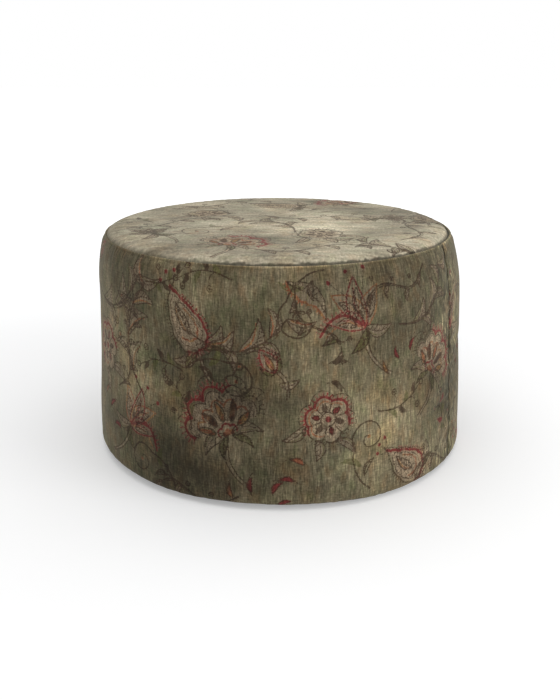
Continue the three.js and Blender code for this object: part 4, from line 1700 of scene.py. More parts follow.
@dataclass(frozen=True)
class Wrinkles:
    """How deep the cover's unevenness is, in metres."""

    sag: float = 0.9 * MM
    top_sag: float = 1.1 * MM
    drape: float = 0.35 * MM
    pucker: float = 0.6 * MM
    hem_pucker: float = 0.3 * MM
    groove: float = 1.5 * MM
    groove_width: float = 2.6 * MM
    ripple: float = 0.4 * MM
    rollover: float = 2.2 * MM


@dataclass(frozen=True)
class PaintedLight:
    """Weights of the painted shade in the seams, under the top's lip and under the hem, and of the painted
    highlight on the fold's crest, as weights of the painted light layer; and how far the painted shading of
    creases reaches from the side seams.
    """

    side_seam: float = 1.3
    near_seam: float = 0.3
    fold: float = 0.85
    hem: float = 0.8
    crest: float = 0.5
    top_seam: float = 0.95
    tucked: float = 0.35
    crease_shading_reach: float = 55 * MM


@dataclass(frozen=True)
class SideMap:
    """Where the points of a side panel lie on its flat cloth, with its hem and its top seam."""

    u: Array
    v: Array
    length: float
    flange: float
    seam_run: float

    @property
    def below(self) -> Array:
        """How far each point lies below the top seam."""
        return np.maximum(self.seam_run - self.v, 0)

    @property
    def above(self) -> Array:
        """How far each point lies above the hem's fold."""
        return np.maximum(self.v - self.flange - 3 * MM, 0)

    @property
    def end(self) -> Array:
        """How far each point lies from the nearer side seam."""
        return np.minimum(self.u, self.length - self.u)


@dataclass
class Cover:
    """The sewn cover: one top panel and two side panels, each a closed piece of padded cloth."""

    pitch: float = 1.3 * MM
    block: int = 8
    thickness: float = 1.6 * MM
    rim_roll: float = 13.0 * MM
    crown_fall: float = 3.0 * MM
    lip_inset: float = 6.5 * MM
    fold_roll: float = 2.4 * MM
    fold_drop: float = 1.2 * MM
    hem_roll: float = 5.0 * MM
    hem_turn: float = 39 * MM
    hem_reach: float = 45 * MM
    stitch_drop: float = 2.5 * MM
    seam_gap: float = 0.1 * MM
    taper: float = 5.0 * MM
    foot: float = 50 * MM
    waist: float = 265 * MM
    shoulder: float = 275 * MM
    pull: float = 3.5 * MM
    pull_span: Point = (235 * MM, 110 * MM)
    hem_height: float = 60 * MM
    hem_inside: Point = (288 * MM, 10 * MM)
    hem_slope: float = 0.011
    hem_wave: float = 2.0 * MM
    glides: int = 6
    seam_azimuth: float = 62.3
    sim_step: int = 6
    sim_share: float = 0.9
    fill: float = 0.8
    wrinkles: Wrinkles = Wrinkles()
    painted_light: PaintedLight = PaintedLight()

    def __post_init__(self) -> None:
        """Reads the panels' places from the frame."""
        top_low, self.top_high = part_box("top_panel")
        sides = [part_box(node) for node in ("side_panel_front", "side_panel_back")]
        low, high = (Vector(map(pick, *corners)) for pick, corners in zip((min, max), zip(*sides)))
        self.radius = (high.x - low.x) / 2
        self.lip_radius = (self.top_high.x - top_low.x) / 2 - self.lip_inset
        self.seam_height = high.z
        self.lip_bottom = top_low.z
        self.flange_bottom = low.z
        self.fold_level = self.seam_height - self.fold_drop - self.fold_roll
        self.fold_centre = self.lip_radius + 0.15 * MM + self.fold_roll

    def band_radius(self, level: float) -> float:
        """Gives the radius of the band's outer face at a level between the hem and the fold."""
        rise = float(eased((level - self.foot) / (self.waist - self.foot)))
        lean = min(max((level - self.shoulder) / (self.fold_level - self.shoulder), 0.0), 1.0)
        waist = self.radius - self.taper
        top = self.fold_centre + self.fold_roll * math.cos(math.radians(30))
        return self.radius - self.taper * rise - (waist - top) * lean**1.8

    def drawn(self, points: Array) -> Array:
        """Draws the cover's top a little to the left, and lets its hem down at the right and over the glides.

        Args:
            points: Points of the cover or of the pads in it.

        Returns:
            The points where they lie then.
        """
        x, y, z = (points[..., k] for k in range(3))
        high = eased((z - self.pull_span[0]) / self.pull_span[1])
        outside = eased((np.hypot(x, y) - self.hem_inside[0]) / self.hem_inside[1])
        low = (1 - eased(z / self.hem_height)) * outside
        waves = 0.5 - 0.5 * np.cos(self.glides * np.arctan2(x, -y))
        drop = self.hem_slope * np.maximum(x, -0.1) + self.hem_wave * waves**2
        return points + np.stack([-self.pull * high, 0 * y, -drop * low], -1)

    def leftward(self, points: Array) -> Array:
        """Gives how far round to the left each point lies, where the top rolls over its seam."""
        x, y = points[..., 0], points[..., 1]
        return eased((-x / np.maximum(np.hypot(x, y), 1e-6) - 0.15) / 0.4)

    def side_points(self) -> list[Point]:
        """Gives the band's outer face, from under the frame, up the side and down inside the seam."""
        hem = (self.radius - self.hem_roll, self.flange_bottom + self.hem_roll)
        levels = np.linspace(self.foot, self.fold_level + self.fold_roll * 0.5, 90)
        return [
            (self.radius - self.hem_reach, self.flange_bottom),
            *arc(hem, self.hem_roll, -90, 0),
            *((self.band_radius(level), level) for level in levels[:-1]),
            *arc((self.fold_centre, self.fold_level), self.fold_roll, 30, 180),
            (self.fold_centre - self.fold_roll, self.lip_bottom),
        ]

    def top_points(self) -> list[Point]:
        """Gives the top panel's outer face, from the middle to the end of its turned-down lip."""
        flat = self.lip_radius - self.rim_roll
        share = np.linspace(0, 1, 60)
        level = self.top_high.z - self.crown_fall * (0.6 * share**2 + 0.4 * share**8)
        rim = arc((flat, level[-1] - self.rim_roll), self.rim_roll, 86, 0, 20)
        return [*zip(flat * share, level), *rim, (self.lip_radius, self.lip_bottom)]

    def side_panel(
        self, name: str, start: float, run: PrintRun, map_shift: Point, seed: int
    ) -> Piece:
        """Builds one side panel, over half the way round.

        Args:
            name: The node that it replaces, which names the piece too.
            start: The azimuth of its first end.
            run: The print on it.
            map_shift: Where it was cut from the cloth.
            seed: The seed of its unevenness.

        Returns:
            The piece.
        """
        profile = Profile.through(self.side_points(), self.pitch, 1)
        length = math.pi * self.radius
        columns = self.block * round(length / self.pitch / self.block)
        share = np.linspace(self.seam_gap / length, 1 - self.seam_gap / length, columns + 1)
        azimuth = np.radians(start + 180 * share)
        sine, cosine = np.sin(azimuth)[None, :], np.cos(azimuth)[None, :]

        def turned(radius: Array, height: Array) -> Array:
            """Turns the profile's radii and heights round the seat."""
            radius = radius[:, None]
            return np.stack([radius * sine, -radius * cosine, height[:, None] + 0 * sine], -1)

        base = turned(profile.radius, profile.height)
        outwards = turned(profile.out_radius, profile.out_height)
        flange = self.hem_roll + self.hem_turn
        seam_run = profile.run[np.argmax(profile.height)] - self.stitch_drop
        u, v = np.meshgrid(length * share, profile.run)
        at = SideMap(u, v, length, flange, seam_run)
        lift, pucker = self.side_lift(at, seed)
        outer = base + lift[..., None] * outwards
        outer += self.sim_share * self.settled(base, profile, flange, seam_run)

        bends = ((flange - 12 * MM, flange + 6 * MM), (seam_run - 6 * MM, math.inf))
        last = len(profile.run)
        spans = [range(int(a / self.pitch), int(min(b / self.pitch, last))) for a, b in bends]
        rows = kept_indices(last, self.block, spans)
        kept = kept_indices(columns + 1, self.block, [range(0, 6), range(columns - 6, columns + 1)])
        piece, source = cloth_shell(made(name), self.drawn(outer), outwards, self.thickness, rows, kept)
        up = v - flange + self.flange_bottom
        # Painted shade and highlight of the seams, fold and hem, with the dye blots on the front panel, in
        # one layer.
        dark = self.side_shade(at, base, pucker)
        if name == "side_panel_front":
            dark += sum(blot.read(u, up) for blot in SIDE_BLOTS)
        # Painted shading of creases, strongest near the side seams.
        layers = {Ink.SEAM: dark, Ink.CREASE: bell(at.end, self.painted_light.crease_shading_reach)}
        self.print_on(piece, source, run, np.stack([u, up], -1), layers, map_shift)
        return dressed(piece, self.side_material, "cover_fabric", name)

    def side_lift(self, at: SideMap, seed: int) -> tuple[Array, Array]:
        """Gives how far a side panel stands out at each point.

        Args:
            at: Where the points lie.
            seed: The seed of the unevenness.

        Returns:
            The distance outwards, and the pucker along the top seam from -1.5 to 1.5.
        """
        w, u, v, below, above, end = self.wrinkles, at.u, at.v, at.below, at.above, at.end
        lift = w.sag * smooth_noise(u, v, (0.1, 0.09), seed)
        lift += w.drape * smooth_noise(u, v, (0.024, 0.16), seed + 1)
        lift *= rise(below, 30 * MM) * rise(above, 30 * MM) * rise(end, 12 * MM)
        pucker = smooth_noise(u, 0 * v, (0.0058, 1), seed + 2)
        pucker += 0.5 * smooth_noise(u, 0 * v, (0.0031, 1), seed + 3)
        fade = np.exp(-below / (12 * MM)) * np.clip(below / (2 * MM), 0.35, 1)
        fade *= 1 - rise(v - at.seam_run, 3 * MM)
        lift += w.pucker * pucker * fade * rise(end, 4 * MM)
        hem = smooth_noise(u, 0 * v, (0.008, 1), seed + 4) * bell(v - at.flange, 8 * MM * math.sqrt(2))
        lift += w.hem_pucker * hem * rise(end, 10 * MM)
        groove = bell(end, w.groove_width) * rise(below, 6 * MM) * rise(v, at.flange)
        lift -= w.groove * groove
        ripple = smooth_noise(0 * u, v, (1, 0.0085), seed + 5)
        ripple += 0.6 * smooth_noise(0 * u, v, (1, 0.0046), seed + 6)
        ripple *= np.exp(-end / (9 * MM)) * (1 - groove) * rise(below, 10 * MM) * rise(above, 10 * MM)
        return lift + w.ripple * ripple, pucker

    def side_shade(self, at: SideMap, base: Array, pucker: Array) -> Array:
        """Gives the painted shade of the seams, the fold under the top's lip and the hem on a side panel, and
        below 0 the painted highlight on the fold's crest.

        Args:
            at: Where the points lie on the cloth.
            base: Where they lie round the seat.
            pucker: The pucker along the top seam.

        Returns:
            The painted darkness of each point, below 0 where it is painted lighter.
        """
        painted_light, past = self.painted_light, at.v - at.seam_run
        left = self.leftward(base)
        # Painted shade in the groove of the side seam and round it.
        dark = painted_light.side_seam * bell(at.end, 1.8 * MM) * rise(at.below, 4 * MM)
        dark += painted_light.near_seam * bell(at.end, 9 * MM)
        # Painted shade on the fold under the top's lip, less on the left where the top rolls over.
        fold = painted_light.fold * rise(past - 2.2 * MM, 1.5 * MM)
        dark = np.maximum(dark, fold * (1 - 0.8 * left))
        # Painted shade under the hem, on its roll and the turned-under part.
        dark = np.maximum(dark, painted_light.hem * rise(at.flange + 1 * MM - at.v, 5 * MM))
        # Painted highlight on the fold's crest just above the seam.
        crest = bell(past - 0.5 * MM, 1.9 * MM) * (1 + 0.4 * np.clip(pucker, -1, 1))
        return dark - painted_light.crest * crest * (1 - 0.75 * left)

    def settled(self, base: Array, profile: Profile, flange: float, seam_run: float) -> Array:
        """Simulates a panel's upright part and reads the result on its fine grid.

        Args:
            base: The panel's plain points.
            profile: The panel's profile.
            flange: Where the upright part starts along it.
            seam_run: Where it ends.

        Returns:
            The move of each fine point.
        """
        first, last = np.searchsorted(profile.run, [flange, seam_run])
        step = self.sim_step
        rows = np.arange(first, last, step)
        columns = np.linspace(0, base.shape[1] - 1, (base.shape[1] - 1) // step + 1).round().astype(int)
        coarse = Settling().moves(base[np.ix_(rows, columns)])
        move = np.zeros_like(base)
        inner = np.arange(rows[0], rows[-1] + 1)
        places = np.arange(base.shape[1]) * (len(columns) - 1) / (base.shape[1] - 1)
        move[inner] = enlarged(coarse, (inner - rows[0]) / step, places)
        return move

    def top_panel(self) -> Piece:
        """Builds the top panel on a square grid that is drawn into a round.

        Returns:
            The piece.
        """
        profile = Profile.through(self.top_points(), self.pitch, -1)
        half = len(profile.run) - 1
        count = 2 * half + 1
        angle, share = disc_grid(count)
        ring = np.rint(share * half).astype(int)
        direction = np.stack([np.cos(angle), np.sin(angle)], -1)
        radius, height = profile.radius[ring], profile.height[ring]
        out_r = np.where(ring == 0, 0, profile.out_radius[ring])
        outwards = np.concatenate([direction * out_r[..., None], profile.out_height[ring][..., None]], -1)
        base = np.concatenate([direction * radius[..., None], height[..., None]], -1)
        x, y, run = base[..., 0], base[..., 1], profile.run[ring]
        lift, pucker = self.top_lift(base, direction, run)
        outer = base + lift[..., None] * outwards
        log.info("top panel: %d by %d points", count, count)
        step = self.sim_step
        reach = (half - int(12 * MM / self.pitch)) // step * step
        picks = np.arange(half - reach, half + reach + 1, step)
        coarse = Settling(cap=3 * MM).moves(base[np.ix_(picks, picks)])
        inner = np.arange(picks[0], picks[-1] + 1)
        places = (inner - picks[0]) / step
        outer[np.ix_(inner, inner)] += enlarged(coarse, places, places)
        bend = int(22 * MM / self.pitch)
        kept = kept_indices(count, self.block, [range(0, bend), range(count - bend, count)])
        outer = self.drawn(outer)
        piece, source = cloth_shell(made("top_panel"), outer, outwards, self.thickness, kept, kept)
        stretch = np.where(radius > 1e-6, run / np.maximum(radius, 1e-6), 1)
        reach = float(profile.run[-1])
        cloth = PrintRun(TOP_PRINT, (-reach, -reach), (reach, reach), bold=1.35, seed=71)
        # Painted shade by the seam, with the dye blots.
        layers = {Ink.SEAM: self.top_shade(base, run, pucker)}
        self.print_on(piece, source, cloth, np.stack([x * stretch, y * stretch], -1), layers)
        return dressed(piece, PrintedCloth(Cut.TOP).material(), "cover_fabric", "top_panel")

    def top_lift(self, base: Array, direction: Array, run: Array, seed: int = 400) -> tuple[Array, Array]:
        """Gives how far the top panel stands out at each point.

        Args:
            base: The panel's plain points.
            direction: Each point's direction from the middle.
            run: How far along the cloth it lies from the middle.
            seed: The seed of the unevenness.

        Returns:
            The distance outwards, and the pucker along the seam from -1.5 to 1.5.
        """
        w, x, y = self.wrinkles, base[..., 0], base[..., 1]
        past = run - self.lip_radius - 1.5 * MM
        inward = np.maximum(-past, 0)
        lift = w.top_sag * smooth_noise(x, y, (0.12, 0.1), seed)
        lift += w.drape * smooth_noise(x, y, (0.05, 0.022), seed + 1)
        lift *= rise(inward, 50 * MM)
        wrap_x, wrap_y = (direction[..., k] * self.lip_radius for k in (0, 1))
        pucker = smooth_noise(wrap_x, wrap_y, (0.006, 0.006), seed + 2)
        pucker += 0.5 * smooth_noise(wrap_x, wrap_y, (0.0033, 0.0033), seed + 3)
        fade = np.exp(-inward / (11 * MM)) * np.clip(1 - past / (4 * MM), 0, 1)
        over = self.leftward(base)
        lift += w.pucker * pucker * fade * (1 - 0.7 * over)
        return lift + w.rollover * over * bell(run - self.lip_radius, 8 * MM), pucker

    def top_shade(self, base: Array, run: Array, pucker: Array) -> Array:
        """Gives the painted shade by the seam on the top panel's roll, with the dye blots, below 0 where it
        is lighter.

        Args:
            base: The panel's plain points.
            run: How far along the cloth each lies from the middle.
            pucker: The pucker along the seam.

        Returns:
            The painted shade and dye darkness of each point.
        """
        x, y, height = (base[..., k] for k in range(3))
        tucked = rise(x / self.lip_radius - 0.5, 0.4)
        # Painted shade: the roll darkens below a line just over the seam, less where the top is tucked or
        # rolls over.
        line = self.seam_height + (1.7 - 0.8 * tucked + 1.5 * np.clip(pucker, -1, 1)) * MM
        dark = self.painted_light.top_seam * rise(line - height, 1.8 * MM) * (run > 0.9 * self.lip_radius)
        dark *= (1 - self.painted_light.tucked * tucked) * (1 - 0.85 * self.leftward(base))
        return dark + sum(blot.read(x, y) for blot in TOP_BLOTS)

    def print_on(
        self,
        piece: Piece,
        source: Array,
        run: PrintRun,
        flat: Array,
        layers: dict[Ink, Array],
        shift: Point = (0.0, 0.0),
    ) -> None:
        """Prints a panel and gives it its flat map.

        Args:
            piece: The panel.
            source: The grid point of each of its vertices.
            run: The print on it.
            flat: The grid's places on the cloth.
            layers: The values of the layers that aren't printed: the painted light with the dye blots, and
                the painted shading of creases.
            shift: Where the panel was cut from the cloth.
        """
        flat = flat.reshape(-1, 2)[source]
        inks = run.canvas().read(flat)
        inks.update({ink: values.reshape(-1)[source] for ink, values in layers.items()})
        values = [inks[ink] for ink in Ink]
        for k, name in enumerate(INK_AND_LIGHT_LAYERS):
            set_layer(piece, name, np.stack(values[4 * k : 4 * k + 4], -1))
        set_map(piece, flat + np.array(shift))

    def build(self) -> None:
        """Builds the three panels."""
        self.side_material = PrintedCloth(Cut.SIDE).material()
        length, height = math.pi * self.radius, 0.45
        low, high = (0.0, -0.05), (length, height)
        front = PrintRun(SIDE_PRINT, low, high)
        back = PrintRun(SIDE_PRINT, low, high, shift=(0.21, -0.04), seed=171)
        self.top_panel()
        self.side_panel("side_panel_front", self.seam_azimuth - 180, front, (0.0, 0.0), 100)
        self.side_panel("side_panel_back", self.seam_azimuth, back, (2.37, 0.31), 200)


# What the cover holds


@dataclass
class Padding:
    """The seat's foam, the wadding over it and the wadding round the board."""

    ease: float = 1.4 * MM
    edge: float = 12 * MM
    cover: Cover = field(default_factory=Cover)

    def build(self) -> None:
        """Builds the three pads."""
        wadding = Fibre("wadding", srgb(216, 214, 204), srgb(246, 245, 240), (0.004, 0.003), 1.0, 0.3)
        material = wadding.material()
        foam = Fibre("foam", srgb(206, 190, 130), srgb(238, 228, 178), (0.0016, 0.0016), 0.9, 0.1, 0.0008)
        self.foam(foam.material())
        self.seat_wadding(material)
        self.side_wadding(material)

    def foam(self, material: Material) -> None:
        """Builds the foam with its crowned top and rounded edge."""
        low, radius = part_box("seat_foam")[0], self.foam_radius
        level = self.foam_level(radius)
        foot = arc((radius - 2 * MM, low.z + 2.1 * MM), 2 * MM, 0, -90, 3)
        outline = [(0, low.z + 0.1 * MM), *foot[::-1], *level[::-1]]
        piece = self.roughened(spun(made("seat_foam"), outline), 0.25 * MM, 5)
        dressed(piece, material, "foam", "seat_foam")

    @property
    def foam_radius(self) -> float:
        """The foam's radius, inside the cover's turned-down lip."""
        return min(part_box("seat_foam")[1].x, self.cover.lip_radius - 5.2 * MM) - 0.2 * MM

    def foam_level(self, radius: float, ease: float = 0.0) -> list[Point]:
        """Gives the foam's upper face from the middle outwards, with its rounded edge."""
        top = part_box("seat_foam")[1].z - self.ease + ease
        flat = radius - self.edge
        crown = [(flat * s, top - 3.6 * MM * s**2.4) for s in np.linspace(0, 1, 9)]
        return [*crown, *arc((flat, crown[-1][1] - self.edge), self.edge + ease, 90, 0, 6)[1:]]

    def seat_wadding(self, material: Material) -> None:
        """Builds the wadding that lies over the foam and hangs down round it."""
        low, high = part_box("seat_wadding")
        cover = self.cover
        lip = cover.lip_radius - 3.0 * MM
        top, roll = high.z - self.ease, cover.rim_roll - 2 * MM
        crown = [((lip - roll) * s, top - 4.2 * MM * s**2.4) for s in np.linspace(0, 1, 9)]
        rim = arc((lip - roll, crown[-1][1] - roll), roll, 90, 0, 6)[1:]
        step = cover.lip_bottom - 1 * MM
        levels = np.linspace(step - 2 * MM, low.z + 1 * MM, 9)
        skirt = [(min(high.x - 0.6 * MM, cover.band_radius(z) - 4.4 * MM), z) for z in levels]
        under = self.foam_level(self.foam_radius, 0.5 * MM)[::-1]
        foot = [(skirt[-1][0] - 1 * MM, low.z), (under[0][0], low.z)]
        outline = [*crown, *rim, (lip, step), *skirt, *foot, *under]
        piece = self.roughened(spun(made("seat_wadding"), outline[::-1]), 0.25 * MM, 6)
        dressed(piece, material, "wadding", "seat_wadding")

    def side_wadding(self, material: Material) -> None:
        """Builds the wadding round the board, which follows the cover's band from inside."""
        low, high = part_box("side_padding")
        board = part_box("side_board")[1].x + 0.5 * MM
        levels = np.linspace(low.z + 3 * MM, high.z, 40)
        wall = [(self.cover.band_radius(z) - 3.4 * MM, z) for z in levels]
        wall = [(radius, z) for radius, z in wall if radius > board + 0.6 * MM]
        foot = [(board, low.z + 1 * MM), (wall[0][0] - 2 * MM, low.z + 0.6 * MM)]
        outline = [*foot, *wall, (board, wall[-1][1] + 1 * MM)]
        piece = self.roughened(spun(made("side_padding"), outline), 0.3 * MM, 7)
        dressed(piece, material, "wadding", "side_padding")

    def roughened(self, piece: Piece, depth: float, seed: int) -> Piece:
        """Gives a pad one more subdivision and a slight unevenness.

        Args:
            piece: The pad.
            depth: How uneven it becomes.
            seed: The unevenness's seed.

        Returns:
            The pad.
        """
        deselect()
        bpy.context.view_layer.objects.active = piece
        finer = piece.modifiers.new("finer", "SUBSURF")
        finer.subdivision_type = "SIMPLE"
        finer.levels = finer.render_levels = 1
        bpy.ops.object.modifier_apply(modifier=finer.name)
        mesh = piece.data
        points = np.empty(len(mesh.vertices) * 3, np.float32)
        normals = np.empty_like(points)
        mesh.vertices.foreach_get("co", points)
        mesh.vertices.foreach_get("normal", normals)
        points, normals = points.reshape(-1, 3), normals.reshape(-1, 3)
        lump = smooth_noise(points[:, 0] + points[:, 2], points[:, 1], (0.02, 0.02), seed)
        points = self.cover.drawn(points - normals * (depth * (1 + lump))[:, None])
        mesh.vertices.foreach_set("co", points.astype(np.float32).reshape(-1))
        mesh.update()
        return piece


@dataclass
class Platform:
    """The interlaced webbing on the top ring and the hessian over it."""

    strips: int = 4
    width: float = 50 * MM
    thickness: float = 1.5 * MM
    fold: float = 22 * MM
    crossing: float = 52 * MM
    ramp: float = 24 * MM
    cloth: float = 0.7 * MM

    def build(self) -> None:
        """Builds the strips and the hessian."""
        plain = srgb(120, 94, 58), srgb(196, 168, 118), 2.2 * MM
        material = Weave("jute_webbing", *plain, srgb(96, 44, 34), self.width / 2).material()
        boxes = [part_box(f"webbing_across_{k + 1}") for k in range(self.strips)]
        middles = [(low.y + high.y) / 2 for low, high in boxes]
        for k in range(self.strips):
            for way, direction in enumerate(("across", "along")):
                self.strip(f"webbing_{direction}_{k + 1}", way, k, middles, material)
        self.hessian()

    def strip(
        self, name: str, way: int, index: int, middles: list[float], material: Material
    ) -> None:
        """Builds one strip, which runs over and under the ones that cross it.

        Args:
            name: The node that it replaces.
            way: 0 for a strip along X, and 1 for a strip along Y.
            index: Its number among the strips that run its way.
            middles: Where the crossing strips lie.
            material: Its material.
        """
        low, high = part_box(name)
        half = (high.x - low.x) / 2 if way == 0 else (high.y - low.y) / 2
        thick = self.thickness
        bottom, top = low.z + 0.05 * MM, high.z - thick - 0.05 * MM
        run = np.arange(-half + thick, half - thick, 3 * MM)
        level = np.full_like(run, bottom)
        for k, middle in enumerate(middles):
            if (k + index + way) % 2 == 0:
                level += (top - bottom) * eased((self.crossing - np.abs(run - middle)) / self.ramp)
        bend = 1.06 * thick
        end = arc((half - thick, bottom + bend), bend, -90, 90, 6)
        tail = [(half - thick - s, bottom + 2 * bend) for s in np.linspace(3 * MM, self.fold, 6)]
        right = [*end, *tail]
        left = [(-r, z) for r, z in right[::-1]]
        line = np.array([*left, *zip(run, level), *right])
        steps = np.r_[0, np.cumsum(np.hypot(*np.diff(line, axis=0).T))]
        slope = np.gradient(line, axis=0)
        out = np.c_[slope[:, 1], -slope[:, 0]] / np.hypot(*slope.T)[:, None]
        across = np.linspace(-self.width / 2, self.width / 2, 13)
        middle = (low.y + high.y) / 2 if way == 0 else (low.x + high.x) / 2
        upright = [values[:, None] for values in (*line.T, *out.T)]
        along, up, out_along, out_up, side = np.broadcast_arrays(*upright, across)
        if way == 0:
            under = np.stack([along, middle + side, up], -1)
            normal = np.stack([out_along, 0 * side, out_up], -1)
        else:
            under = np.stack([middle - side, along, up], -1)
            normal = np.stack([0 * side, out_along, out_up], -1)
        rows, columns = np.arange(len(line)), np.arange(0, 13, 2)
        piece, source = cloth_shell(made(name), under[:, ::-1], normal[:, ::-1], thick, rows, columns)
        flat = np.stack(np.broadcast_arrays(across[None, ::-1], steps[:, None]), -1).reshape(-1, 2)[source]
        set_map(piece, flat)
        dressed(piece, material, "jute_webbing", name)

    def hessian(self) -> None:
        """Builds the flat cloth between the webbing and the foam."""
        low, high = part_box("platform_cloth")
        radius = (high.x - low.x) / 2
        weave = Weave("hessian", srgb(128, 104, 70), srgb(198, 172, 126), 1.8 * MM)
        level = (low.z + high.z) / 2
        piece = round_sheet(made("platform_cloth"), radius, level, self.cloth, lambda x, y: 0 * x)
        dressed(piece, weave.material(), "hessian", "platform_cloth")


def round_sheet(
    name: str, radius: float, level: float, thickness: float, sag: Callable[[Array, Array], Array]
) -> Piece:
    """Makes a round closed sheet with a flat map.

    Args:
        name: The piece's name.
        radius: Its radius.
        level: The height of its middle face.
        thickness: Its thickness.
        sag: Gives how far each point of it lies lower.

    Returns:
        The piece.
    """
    count = 97
    angle, share = disc_grid(count)
    x, y = radius * share * np.cos(angle), radius * share * np.sin(angle)
    z = level + thickness / 2 - sag(x, y)
    outer = np.stack([x, y, z], -1)
    up = np.broadcast_to(np.array([0.0, 0.0, 1.0]), outer.shape)
    kept = kept_indices(count, 1, [])
    piece, source = cloth_shell(name, outer, up, thickness, kept, kept)
    set_map(piece, np.stack([x, y], -1).reshape(-1, 2)[source])
    return piece


@dataclass
class Underside:
    """The dust cover with its staples, and the glides with their screws."""

    glides: int = 6
    staples: int = 48
    crown: float = 10 * MM
    wire: Point = (1.2 * MM, 0.55 * MM)
    cloth: float = 0.5 * MM
    sag: float = 0.9 * MM
    recess: Point = (5.5 * MM, 3.3 * MM)
    rim: Point = (3 * MM, 0.3 * MM)
    head_depth: float = 2.4 * MM
    shank: float = 2 * MM
    point: float = 5 * MM
    cross: Point = (5.2 * MM, 1.1 * MM)
    cross_depth: float = 2.8 * MM

    def build(self) -> None:
        """Builds what shows from below."""
        self.dust_cover()
        self.glide_row()

    def dust_cover(self) -> None:
        """Builds the black non-woven cloth, which sags a little between its staples."""
        low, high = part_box("dust_cover")
        radius = (high.x - low.x) / 2
        staples, ring = self.staples, radius - 5 * MM

        def sag(x: Array, y: Array) -> Array:
            """Gives the cloth's fall: none at the staples and a little between them and in the middle."""
            reach = np.hypot(x, y)
            turn = np.arctan2(x, -y)
            between = np.sin(turn * staples / 2) ** 2 * bell(reach - ring, 12 * MM)
            middle = np.clip(1 - (reach / (radius - 0.03)) ** 2, 0, 1)
            return 0.1 * MM * between - self.sag * middle

        cloth = Fibre("dust_cloth", srgb(16, 16, 17), srgb(46, 46, 48), (0.003, 0.003), 0.9, 0.25, 0.0002)
        piece = round_sheet(made("dust_cover"), radius, (low.z + high.z) / 2, self.cloth, sag)
        dressed(piece, cloth.material(), "dust_cloth", "dust_cover")
        self.staple_row(ring, low.z)

    def staple_row(self, ring: float, level: float) -> None:
        """Builds one staple as by hand and sets copies of it round the dust cover's edge.

        Args:
            ring: The radius that they stand on.
            level: The height of the cloth's lower face.
        """
        deselect()
        bpy.ops.mesh.primitive_cube_add(size=1, location=(0, 0, 0))
        model = bpy.context.object
        model.scale = (self.crown, *self.wire)
        bpy.ops.object.transform_apply(location=False, rotation=False, scale=True)
        bevel = model.modifiers.new("round", "BEVEL")
        bevel.width, bevel.segments = 0.2 * MM, 2
        bpy.ops.object.modifier_apply(modifier=bevel.name)
        shape = model.data.copy()
        bpy.data.objects.remove(model)
        joined = bmesh.new()
        for k in range(self.staples):
            azimuth = 360 * (k + 0.5) / self.staples
            turn = Matrix.Rotation(math.radians(azimuth), 4, "Z")
            copy = shape.copy()
            copy.transform(Matrix.Translation(around(ring, azimuth, level - 0.15 * MM)) @ turn)
            joined.from_mesh(copy)
            bpy.data.meshes.remove(copy)
        mesh = bpy.data.meshes.new("dust_cover_staples")
        joined.to_mesh(mesh)
        joined.free()
        steel = Metal("staple_wire", srgb(176, 172, 160), 0.35).material()
        dressed(placed(mesh.name, mesh), steel, "screw_steel")

    def glide_row(self) -> None:
        """Builds a glide and its screw as by hand, and sets a copy of each at every glide's place."""
        plastic = Plastic("glide_plastic", srgb(52, 38, 28)).material()
        steel = Metal("zinc_steel", srgb(198, 200, 204), 0.28).material()
        glide, screw = self.glide_model(), self.screw_model()
        for k in range(1, self.glides + 1):
            low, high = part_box(f"glide_{k}")
            centre = Vector(((low.x + high.x) / 2, (low.y + high.y) / 2, 0))
            turn = math.radians(360 * (k - 0.5) / self.glides)
            for model, name, material, slot in (
                (glide, f"glide_{k}", plastic, "glide_plastic"),
                (screw, f"glide_screw_{k}", steel, "screw_steel"),
            ):
                mesh = model.data.copy()
                mesh.transform(Matrix.Translation(centre) @ Matrix.Rotation(turn, 4, "Z"))
                dressed(placed(made(name), mesh), material, slot, name)
        for model in (glide, screw):
            bpy.data.objects.remove(model)

    def glide_model(self) -> Piece:
        """Models a glide: a disc with a rounded foot and a recess for the screw's head.

        Returns:
            The model, with its foot at height zero.
        """
        low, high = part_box("glide_1")
        radius, height = (high.x - low.x) / 2, high.z - low.z
        model = cylinder(64, radius, height, height / 2)
        inset_face(model, -1, radius - self.recess[0])
        push_face(model, -1, self.recess[1])
        inset_face(model, 1, radius - self.rim[0])
        push_face(model, 1, -self.rim[1])
        soften(model, 0.9 * MM, 3, 40)
        return model

    def screw_model(self) -> Piece:
        """Models a pan-head screw with a cross recess, pointing up from its head.

        Returns:
            The model.
        """
        low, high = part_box("glide_screw_1")
        head, depth = (high.x - low.x) / 2, self.head_depth
        model = cylinder(48, head, depth, low.z + depth / 2)
        inset_face(model, 1, head - self.shank)
        push_face(model, 1, high.z - low.z - depth - self.point)
        push_face(model, 1, self.point)
        taper_face(model, 1, 0.12)
        soften(model, 0.7 * MM, 3, 50)
        for size in (self.cross, self.cross[::-1]):
            deselect()
            bpy.ops.mesh.primitive_cube_add(size=1, location=(0, 0, low.z))
            slot = bpy.context.object
            slot.scale = (*size, self.cross_depth)
            bpy.ops.object.transform_apply(location=True, scale=True)
            cut = model.modifiers.new("recess", "BOOLEAN")
            cut.operation, cut.object, cut.solver = "DIFFERENCE", slot, "EXACT"
            slot.select_set(False)
            bpy.context.view_layer.objects.active = model
            bpy.ops.object.modifier_apply(modifier=cut.name)
            bpy.data.objects.remove(slot)
        return model


def cylinder(corners: int, radius: float, depth: float, level: float) -> Piece:
    """Starts a model from a standing cylinder whose middle is at a level."""
    deselect()
    bpy.ops.mesh.primitive_cylinder_add(vertices=corners, radius=radius, depth=depth, location=(0, 0, level))
    bpy.ops.object.transform_apply(location=True)
    return bpy.context.object


